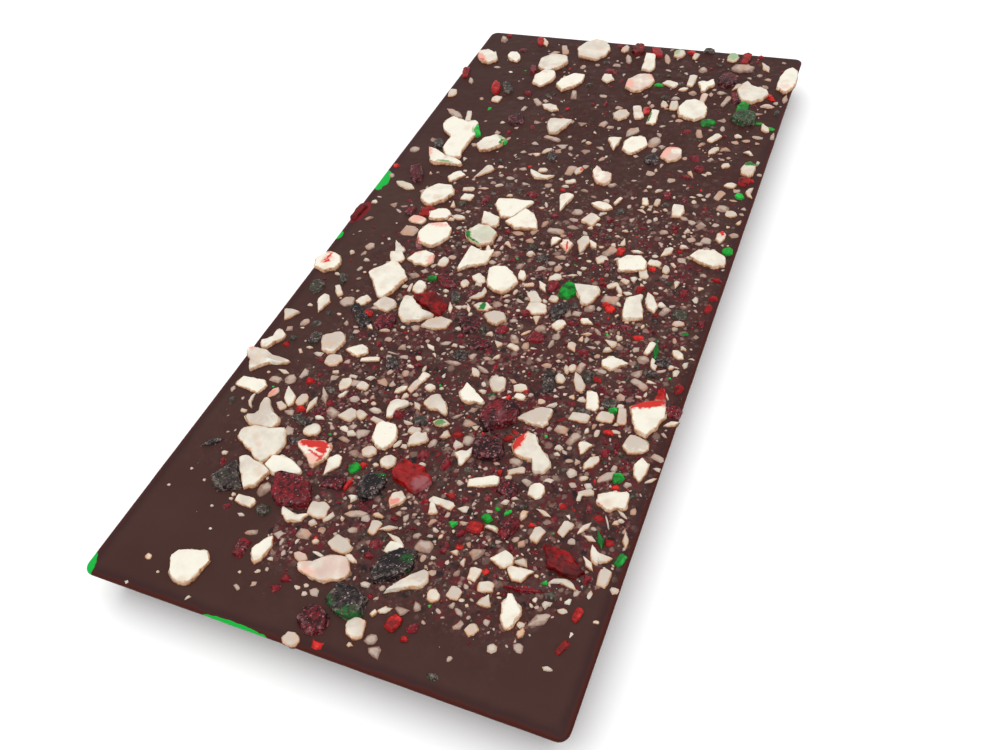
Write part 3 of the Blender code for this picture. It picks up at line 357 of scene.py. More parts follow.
# the look of the chocolate; in all looks a noise is size, detail, roughness and offset, and a range
# is low and high, then the two results if they aren't 0 and 1
chocolate = {
    "roughness": 0.42,
    "specular": 0.08,
    # dark and light brown in clouds: partly the chocolate's own mottling, partly painted soft sheen
    "dark": (0.0455, 0.0167, 0.0133),
    "light": (0.0520, 0.0226, 0.0176),
    "clouds": ((16 * mm, 2.0), (0.3, 0.75)),
    # painted shade: darker and redder towards the back, offsetting the stronger sheen seen there
    "far": (0.028, 0.0045, 0.0020),
    "farRange": (0, 80 * mm, 0.0, 0.65),
    "spotColours": ((0.070, 0.013, 0.015), (0.018, 0.010, 0.010), (0.085, 0.044, 0.038)),
    "spotNoise": (1.8 * mm, 5.0, 0.65),
    "spotOffset": 3.0,
    "spotRange": (0.48, 0.64, 0.0, 0.75),
    "blotches": ((5 * mm, 2.0, 0.5, 17.0), (0.50, 0.64)),
    "blotchStrewn": (0.35, 0.75),
    "blotchSizes": (0.85 * mm, 0.38 * mm),
    "blotchWarp": 0.8,
    "blotchStep": 0.08,
    # draw, least draw, most share and colour
    "blotchGrains": (("Red", 0.50, 0.80, (0.030, 0.010, 0.011)),
                     ("Green", 0.66, 0.75, (0.105, 0.010, 0.016)),
                     ("Blue", 0.86, 0.60, (0.25, 0.145, 0.105))),
    "fragmentSizes": (0.45 * mm, 0.9 * mm, 1.5 * mm),
    "fragmentWarp": 0.5,
    "fragmentEdge": (0.28, 0.52, 1.0, 0.0),
    "fragmentStrewn": (0.15, 0.75),
    "fragmentDepth": (0.1, 1.0, 0.1, 0.95),
    "fragmentStep": 0.01,
    # black, beige and crimson: least and most draw
    "fragments": (((0.012, 0.008, 0.009), 0.0, 0.16), ((0.24, 0.15, 0.12), 0.55, 0.72),
                  ((0.105, 0.010, 0.014), 0.74, 1.0)),
    "rimWaver": ((2.5 * mm, 3.0, 0.6, 8.0), (0.2, 0.8, -0.2, 0.2)),
    "rimBand": (0.45, 0.95),
    # painted shade: a darker band just inside the rim, for a darker reflection there
    "paintedRimShade": (0.030, 0.0100, 0.0105),
    "paintedRimShadeEnd": (0.95, 2.4, 0.7, 0.0),
    # painted shade and glow: the rounded rim and wall are darker and redder, for a darker reflection and
    # reddish light through thin chocolate
    "wall": (0.052, 0.0085, 0.0055),
    # painted glow: orange light bleeding through the thin chocolate at the rim, in patches
    "paintedRimGlow": (0.16, 0.050, 0.014),
    "paintedRimGlowPatches": ((5 * mm, 2.0, 0.5, 9.0), (0.56, 0.72)),
    "paintedRimGlowBand": (-0.1, 0.35, 0.6, 0.0),
    "smearWaver": ((1.5 * mm, 2.0, 0.5, 7.0), (0.2, 0.8, -0.12, 0.12)),
    "smearEdge": (1.0, 1.08, 1.0, 0.0),
    "smearColours": {"green": (0.004, 0.36, 0.040), "red": (0.16, 0.010, 0.016)},
    # candy melted onto the rim: colour, middle, half sizes and turn, in mm and degrees
    "smears": (
        ("green", (-37.6, -78.6, 6.0), (1.5, 2.9, 4.5), 22),
        ("green", (-10.8, -80.3, 5.6), (6.3, 0.8, 3.2), 0),
        ("green", (-37.3, 17.4, 7.0), (1.8, 3.3, 2.5), 12),
        ("green", (-37.4, -1.3, 7.0), (0.9, 1.2, 1.6), 0),
        ("red", (-36.6, 6.2, 7.0), (1.5, 3.2, 1.5), -8),
    ),
    "sheen": ((9 * mm, 3.0, 0.5, 5.0), (0.3, 0.7, 0.35, 0.50)),
    "bumpNoise": (0.5 * mm, 4.0, 0.6, 1.0),
    "bump": (0.12, 0.08 * mm),
}


# 1 inside a smear and 0 outside it, by the distance from its middle in half sizes plus a waver
def smearShare(tree, middle, half, turn, waver):
    mapping = addNode(tree, "ShaderNodeMapping",
                      {"Vector": placeOn(tree), "Location": [place * mm for place in middle],
                       "Rotation": (0, 0, math.radians(turn)), "Scale": [size * mm for size in half]},
                      vector_type="TEXTURE")
    reach = addNode(tree, "ShaderNodeVectorMath", {0: mapping.outputs[0]}, operation="LENGTH")
    return ranged(tree, plus(tree, reach.outputs["Value"], waver), *chocolate["smearEdge"])


# brown in clouds that are partly painted sheen, with painted shade making it redder and darker towards
# the back; where candy was strewn, soft spots, blotches of grains and half hidden fragments, each shown
# by its share; then a painted darker band of reflected shade inside the rim, painted reddish glow and
# shade on the rim and wall, painted orange glow in patches at the rim, and the smears
def chocolateFinish():
    look = chocolate
    material, tree, shader = newFinish("chocolate", Roughness=look["roughness"],
                                       Specular_IOR_Level=look["specular"])
    # partly painted sheen: dark and light brown clouds that also stand in for soft reflections
    colour = blended(tree, rangedNoise(tree, *look["clouds"]), look["dark"], look["light"])
    along = addNode(tree, "ShaderNodeSeparateXYZ", {0: placeOn(tree)}).outputs["Y"]
    # painted shade: darker and redder towards the back, offsetting the stronger sheen seen there
    colour = blended(tree, ranged(tree, along, *look["farRange"]), colour, look["far"])
    thickly = markOf(tree, "strewn")
    for order, spotColour in enumerate(look["spotColours"]):
        spots = noiseOn(tree, *look["spotNoise"], look["spotOffset"] + order)
        shown = times(tree, thickly, ranged(tree, spots, *look["spotRange"]))
        colour = blended(tree, shown, colour, spotColour)
    blotched = times(tree, rangedNoise(tree, *look["blotches"]),
                     ranged(tree, thickly, *look["blotchStrewn"]))
    for size in look["blotchSizes"]:
        draws = cellsOn(tree, size, look["blotchWarp"])[1]
        for draw, least, share, grain in look["blotchGrains"]:
            shown = ranged(tree, draws[draw], least, least + look["blotchStep"], 0.0, share)
            colour = blended(tree, times(tree, blotched, shown), colour, grain)
    for size in look["fragmentSizes"]:
        distance, draws = cellsOn(tree, size, look["fragmentWarp"])
        shown = times(tree, ranged(tree, thickly, *look["fragmentStrewn"]),
                      ranged(tree, draws["Green"], *look["fragmentDepth"]))
        shown = times(tree, ranged(tree, distance, *look["fragmentEdge"]), shown)
        for fragment, low, high in look["fragments"]:
            above = ranged(tree, draws["Red"], low - look["fragmentStep"], low)
            below = ranged(tree, draws["Red"], high, high + look["fragmentStep"], 1.0, 0.0)
            colour = blended(tree, times(tree, shown, times(tree, above, below)), colour, fragment)
    rim = plus(tree, markOf(tree, "rim"), rangedNoise(tree, *look["rimWaver"]))
    # painted shade: a darker band just inside the rim, for a darker reflection there
    paintedRimShade = times(tree, ranged(tree, rim, *look["rimBand"]), ranged(tree, rim, *look["paintedRimShadeEnd"]))
    colour = blended(tree, paintedRimShade, colour, look["paintedRimShade"])
    # painted shade and glow: the rounded rim and wall are darker and redder, for a darker reflection and
    # reddish light through thin chocolate
    colour = blended(tree, ranged(tree, rim, *look["rimBand"], 1.0, 0.0), colour, look["wall"])
    # painted glow: orange light bleeding through the thin chocolate at the rim, in patches
    paintedRimGlow = times(tree, rangedNoise(tree, *look["paintedRimGlowPatches"]), ranged(tree, rim, *look["paintedRimGlowBand"]))
    colour = blended(tree, paintedRimGlow, colour, look["paintedRimGlow"])
    waver = rangedNoise(tree, *look["smearWaver"])
    for name, middle, half, turn in look["smears"]:
        colour = blended(tree, smearShare(tree, middle, half, turn, waver), colour,
                         look["smearColours"][name])
    tree.links.new(colour, shader.inputs["Base Color"])
    tree.links.new(rangedNoise(tree, *look["sheen"]), shader.inputs["Roughness"])
    bumped(tree, shader, noiseOn(tree, *look["bumpNoise"]), *look["bump"])
    return material


# light candy: warm white with cream clouds, red and green where marked, and a film of chocolate
# at its foot that goes from brown through peach to clean candy
lightCandy = {
    "roughness": 0.40,
    "specular": 0.22,
    "glow": 0.12,
    "glowReach": (1.0, 0.7, 0.5),
    "glowDepth": 0.5 * mm,
    "bright": (0.725, 0.690, 0.590),
    "cream": (0.49, 0.42, 0.355),
    "creamRange": (0.35, 0.95),
    "dull": (0.30, 0.235, 0.19),
    "dullRange": (1.15, 1.60),
    "drift": ((2.6 * mm, 2.0), (0.3, 0.7, 0.40, 0.60)),
    "speck": (0.55, 0.27, 0.20),
    "specks": ((0.45 * mm, 1.0, 0.5, 11.0), (0.74, 0.80, 0.0, 0.5)),
    "blush": (0.50, 0.25, 0.21),
    "blushNoise": (3.2 * mm, 2.0, 0.5, 12.0),
    "paleBlush": (0.62, 0.76, 0.0, 0.30),
    "pinkBlush": (0.37, 0.51, 0.0, 0.44),
    "wear": ((3.5 * mm, 2.0, 0.5, 15.0), (0.56, 0.72, 0.0, 0.32)),
    "pink": (0.70, 0.36, 0.29),
    "red": (0.50, 0.016, 0.010),
    "paleGreen": (0.26, 0.38, 0.19),
    "green": (0.004, 0.14, 0.016),
    "paleRange": (0.0, 0.45),
    "deepRange": (0.4, 0.9),
    "peach": (0.57, 0.35, 0.21),
    "orange": (0.27, 0.105, 0.042),
    "brown": (0.075, 0.022, 0.012),
    "filmWaver": ((0.6 * mm, 3.0, 0.6, 5.0), (0.2, 0.8, -0.22, 0.22)),
    "film": (("peach", 0.62, 0.95), ("orange", 0.35, 0.62), ("brown", 0.10, 0.36)),
    "bumpNoise": (0.35 * mm, 4.0, 0.6, 2.0),
    "bump": (0.22, 0.06 * mm),
}


# bright to cream to dull by drift + tone, then specks, blush and wear, each mark's colour from pale
# to deep, and a layer of film wherever bare + waver is below the layer's range
def lightFinish(name, blushRange):
    look = lightCandy
    material, tree, shader = newFinish(name, Roughness=look["roughness"], Subsurface_Weight=look["glow"],
                                       Subsurface_Radius=look["glowReach"],
                                       Subsurface_Scale=look["glowDepth"],
                                       Specular_IOR_Level=look["specular"])
    shade = plus(tree, rangedNoise(tree, *look["drift"]), markOf(tree, "tone"))
    colour = blended(tree, ranged(tree, shade, *look["creamRange"]), look["bright"], look["cream"])
    colour = blended(tree, ranged(tree, shade, *look["dullRange"]), colour, look["dull"])
    colour = blended(tree, rangedNoise(tree, *look["specks"]), colour, look["speck"])
    colour = blended(tree, rangedNoise(tree, look["blushNoise"], look[blushRange]), colour, look["blush"])
    colour = blended(tree, rangedNoise(tree, *look["wear"]), colour, look["peach"])
    for mark, pale, deep in (("redness", "pink", "red"), ("greenAndPaintedLight", "paleGreen", "green")):
        strength = markOf(tree, mark)
        colour = blended(tree, ranged(tree, strength, *look["paleRange"]), colour, look[pale])
        colour = blended(tree, ranged(tree, strength, *look["deepRange"]), colour, look[deep])
    bare = plus(tree, markOf(tree, "bare"), rangedNoise(tree, *look["filmWaver"]))
    for layer, low, high in look["film"]:
        colour = blended(tree, ranged(tree, bare, low, high, 1.0, 0.0), colour, look[layer])
    tree.links.new(colour, shader.inputs["Base Color"])
    bumped(tree, shader, noiseOn(tree, *look["bumpNoise"]), *look["bump"])
    return material


# candy sunk in the chocolate: a patchy film of brown with greyish pink and pale candy showing through
filmedCandy = {
    "roughness": 0.42,
    "patchNoise": (1.1 * mm, 4.0, 0.6, 6.0),
    "bareShare": 0.34,
    "brown": (0.085, 0.028, 0.017),
    "middle": (0.24, 0.135, 0.092),
    "middleRange": (0.55, 0.90),
    "pale": (0.39, 0.30, 0.245),
    "paleRange": (0.90, 1.30),
    "warm": (0.42, 0.22, 0.135),
    "warmth": ((2.8 * mm, 1.0, 0.5, 8.0), (0.50, 0.66, 0.0, 0.8)),
    "warmRange": (0.65, 0.95),
    "bumpNoise": (0.5 * mm, 4.0, 0.6, 2.0),
    "bump": (0.25, 0.07 * mm),
}


# brown to middle to pale by noise + share * bare + tone, warmer in patches
def filmedFinish():
    look = filmedCandy
    material, tree, shader = newFinish("filmedCandy", Roughness=look["roughness"])
    patches = plus(tree, noiseOn(tree, *look["patchNoise"]),
                   times(tree, markOf(tree, "bare"), look["bareShare"]))
    patches = plus(tree, patches, markOf(tree, "tone"))
    colour = blended(tree, ranged(tree, patches, *look["middleRange"]), look["brown"], look["middle"])
    colour = blended(tree, ranged(tree, patches, *look["paleRange"]), colour, look["pale"])
    warmth = times(tree, rangedNoise(tree, *look["warmth"]), ranged(tree, patches, *look["warmRange"]))
    colour = blended(tree, warmth, colour, look["warm"])
    tree.links.new(colour, shader.inputs["Base Color"])
    bumped(tree, shader, noiseOn(tree, *look["bumpNoise"]), *look["bump"])
    return material


# clear coloured candy: deep colour with brighter flecks, glossy
clearCandy = {
    "roughness": 0.16,
    "specular": 0.12,
    "glow": 0.25,
    "glowReach": (1.0, 0.3, 0.3),
    "glowDepth": 0.6 * mm,
    "coat": 0.05,
    "coatRoughness": 0.06,
    "cloudNoise": (1.2 * mm, 3.0, 0.6),
    "toneShare": 0.8,
    "middleRange": (0.38, 0.64),
    "brightRange": (0.66, 0.95),
    "redDeep": (0.055, 0.0008, 0.0015),
    "red": (0.245, 0.004, 0.004),
    "redBright": (0.60, 0.020, 0.015),
    "greenDeep": (0.003, 0.070, 0.009),
    "green": (0.004, 0.26, 0.018),
    "greenBright": (0.02, 0.44, 0.06),
    "frost": (0.26, 0.10, 0.11),
    "filmWaver": ((0.5 * mm,), (0.2, 0.8, -0.2, 0.2)),
    "filmRange": (0.0, 0.60, 1.0, 0.0),
    "bumpNoise": (0.6 * mm, 3.0, 0.6, 4.0),
    "bump": (0.35, 0.10 * mm),
}


# deep to middle to bright by noise + share * tone, then frost and painted deeper shade where marked, and
# film
def clearFinish(name, deep, middle, bright):
    look = clearCandy
    material, tree, shader = newFinish(name, Roughness=look["roughness"], Subsurface_Weight=look["glow"],
                                       Subsurface_Radius=look["glowReach"],
                                       Subsurface_Scale=look["glowDepth"],
                                       Specular_IOR_Level=look["specular"], Coat_Weight=look["coat"],
                                       Coat_Roughness=look["coatRoughness"])
    clouds = plus(tree, noiseOn(tree, *look["cloudNoise"]),
                  times(tree, markOf(tree, "tone"), look["toneShare"]))
    colour = blended(tree, ranged(tree, clouds, *look["middleRange"]), look[deep], look[middle])
    colour = blended(tree, ranged(tree, clouds, *look["brightRange"]), colour, look[bright])
    colour = blended(tree, markOf(tree, "redness"), colour, look["frost"])
    # painted shade: the deep colour where the light patches mark a clear piece
    colour = blended(tree, markOf(tree, "greenAndPaintedLight"), colour, look[deep])
    bare = plus(tree, markOf(tree, "bare"), rangedNoise(tree, *look["filmWaver"]))
    colour = blended(tree, ranged(tree, bare, *look["filmRange"]), colour, lightCandy["brown"])
    tree.links.new(colour, shader.inputs["Base Color"])
    bumped(tree, shader, noiseOn(tree, *look["bumpNoise"]), *look["bump"])
    return material


# sugared dark candy: a rough crust of small grains, each lighter, darker or more coloured
sugaredCandy = {
    "roughness": 0.30,
    "specular": 0.14,
    "grain": 0.42 * mm,
    "grainWarp": 0.6,
    "grainTone": (0.0, 1.0, -0.15, 0.15),
    "toneNoise": (1.4 * mm, 3.0, 0.6),
    "middleRange": (0.42, 0.68),
    "redDark": (0.012, 0.0010, 0.0018),
    "red": (0.074, 0.0030, 0.0058),
    # pale frost colour, also used for painted glints
    "redFrostAndGlint": (0.31, 0.120, 0.130),
    "redGlow": (0.19, 0.005, 0.010),
    "greenDark": (0.0055, 0.0040, 0.0044),
    "green": (0.034, 0.0195, 0.0195),
    # pale frost colour, also used for painted glints
    "greenFrostAndGlint": (0.27, 0.195, 0.18),
    "greenGlow": (0.004, 0.10, 0.011),
    # painted glints: pale stripes drawn out along one heading, shown where the lit noise is high
    "glintStreak": (0.8 * mm, 0.16 * mm, 42, 2.0),
    "glintStreakRange": (0.56, 0.72, 0.0, 0.62),
    "lit": ((1.5 * mm, 2.0, 0.5, 6.0), (0.40, 0.56)),
    "frostShare": 0.6,
    "edgeRange": (0.7, 2.2, 0.55, 0.0),
    "edgePatches": ((0.7 * mm, 3.0, 0.7, 18.0), (0.50, 0.62)),
    "sparkleDraw": (0.76, 0.86, 0.0, 0.9),
    "sparkleSize": (0.25, 0.45, 1.0, 0.0),
    "unlitSparkle": 0.25,
    "glowRange": (0.60, 0.80),
    "glowDraw": (0.2, 0.7, 0.15, 0.9),
    "redGlowing": 1.0,
    "greenGlowing": 0.22,
    "bump": (0.45, 0.10 * mm),
}


# dark to middle by noise + tone + the grain's own draw; frost where marked and at the broken edge, with
# painted glints in lit stripes and sparkling grains that are partly painted glints, all in the pale
# colour, and painted glow where the tone is high or marked; height = the grain's draw - distance
def sugaredFinish(name, dark, middle, frost, glow, glowing):
    look = sugaredCandy
    material, tree, shader = newFinish(name, Roughness=look["roughness"],
                                       Specular_IOR_Level=look["specular"])
    distance, draws = cellsOn(tree, look["grain"], look["grainWarp"])
    tone = plus(tree, plus(tree, noiseOn(tree, *look["toneNoise"]), markOf(tree, "tone")),
                ranged(tree, draws["Blue"], *look["grainTone"]))
    colour = blended(tree, ranged(tree, tone, *look["middleRange"]), look[dark], look[middle])
    # painted highlights: pale stripes where lit, for glints on crystal facets
    glintStreaks = ranged(tree, streaksOn(tree, *look["glintStreak"]), *look["glintStreakRange"])
    lit = rangedNoise(tree, *look["lit"])
    marked = times(tree, markOf(tree, "redness"), look["frostShare"])
    edge = times(tree, ranged(tree, markOf(tree, "bare"), *look["edgeRange"]),
                 rangedNoise(tree, *look["edgePatches"]))
    frostAndGlints = plus(tree, plus(tree, times(tree, glintStreaks, lit), marked), edge)
    # sparkling grains: partly pale sugar, partly painted glints where lit
    sparkle = times(tree, ranged(tree, draws["Red"], *look["sparkleDraw"]),
                    ranged(tree, distance, *look["sparkleSize"]))
    sparkle = times(tree, sparkle, plus(tree, lit, look["unlitSparkle"]))
    colour = blended(tree, frostAndGlints, colour, look[frost])
    colour = blended(tree, sparkle, colour, look[frost])
    glowShare = plus(tree, ranged(tree, tone, *look["glowRange"], 0.0, look[glowing]),
                     markOf(tree, "greenAndPaintedLight"))
    glowShare = times(tree, glowShare, ranged(tree, draws["Green"], *look["glowDraw"]))
    colour = blended(tree, glowShare, colour, look[glow])
    tree.links.new(colour, shader.inputs["Base Color"])
    bumped(tree, shader, plus(tree, times(tree, distance, -1.0), draws["Blue"]), *look["bump"])
    return material


# fine candy dust and sugar grains, each grain of one shade
dustCandy = {
    "roughness": 0.4,
    "shadeWaver": ((0.3 * mm,), (0.2, 0.8, -0.03, 0.03)),
    "dark": (0.045, 0.018, 0.022),
    "steps": (((0.26, 0.012, 0.020), 0.20, 0.28), ((0.36, 0.25, 0.20), 0.45, 0.53),
              ((0.78, 0.70, 0.60), 0.72, 0.80)),
}


# dark, red, beige or white by shade + waver
def dustFinish(name):
    look = dustCandy
    material, tree, shader = newFinish(name, Roughness=look["roughness"])
    shade = plus(tree, markOf(tree, "shade"), rangedNoise(tree, *look["shadeWaver"]))
    colour = look["dark"]
    for lighter, low, high in look["steps"]:
        colour = blended(tree, ranged(tree, shade, low, high), colour, lighter)
    tree.links.new(colour, shader.inputs["Base Color"])
    return material


# how a broken piece of candy stands in the chocolate, as in the solid
shardRule = {
    "seed": 41,
    "heightShare": 0.11,
    "heightDrift": 0.15,
    "leastHeight": 0.25 * mm,
    "mostHeight": 0.65 * mm,
    "kindHeights": {"filmed": 0.5, "red": 1.4, "green": 1.4, "darkRed": 1.7, "darkGreen": 1.7},
    "cornerDrift": 0.04,
    "mostTilt": 0.3,
    "lean": (0.04, 0.36),
    "curve": (-3, 6),
    "chips": (1, 4),
    "chipKeep": (0.55, 1.0),
    "chipSlope": (0.08, 0.34),
    "edgeSoftness": 0.03 * mm,
    "edgeAverage": (0.7, 0.15),
    "edgeWander": (0.03 * mm, 0.08 * mm),
    "edgeWaves": ((0.9 * mm, 6), (2.6 * mm, 4)),
    "fullWander": 3 * mm,
    "leastTop": 0.3,
    "topWander": 0.02 * mm,
    "topWaves": (1.3 * mm, 5),
    "meniscus": 0.05 * mm,
    "filmReach": 0.7 * mm,
    "nearFilm": 0.7,
    "toneDrift": 0.20,
}
# share of the outline, distance past it, height over the chocolate, and how far the film has cleared
footRings = ((0.90, 0, -0.8 * mm, 0), (1, 0.16 * mm, -0.05 * mm, 0.10), (1, 0.05 * mm, 0.04 * mm, 0.42))
# how far the film has cleared at the edge of a piece, and at its lowest and highest point
filmEdge = 0.62
poleClear = (0, 2)
meshings = {  # points around a piece, and the shares of its outline at which its rings run
    "small": (24, (1.0, 0.94, 0.87, 0.76, 0.56, 0.28)),
    "large": (40, (1.0, 0.97, 0.935, 0.89, 0.84, 0.76, 0.63, 0.45, 0.24)),
    "striped": (64, (1.0, 0.975, 0.95, 0.92, 0.88, 0.83, 0.76, 0.68, 0.58, 0.47, 0.35, 0.22, 0.1)),
}
smallUnder = 3.2 * mm
toneRule = {"creamiest": 0.42, "creamUnder": 5 * mm, "dullest": 0.9}
# how ragged the edge of a coloured patch is, how far out it ends and over what share it fades
patchEdge = {"ragged": 0.16, "waves": (0.9 * mm, 9), "farthest": 1.25, "fade": 0.4}
glowingKinds = ("red", "green", "darkRed", "darkGreen")

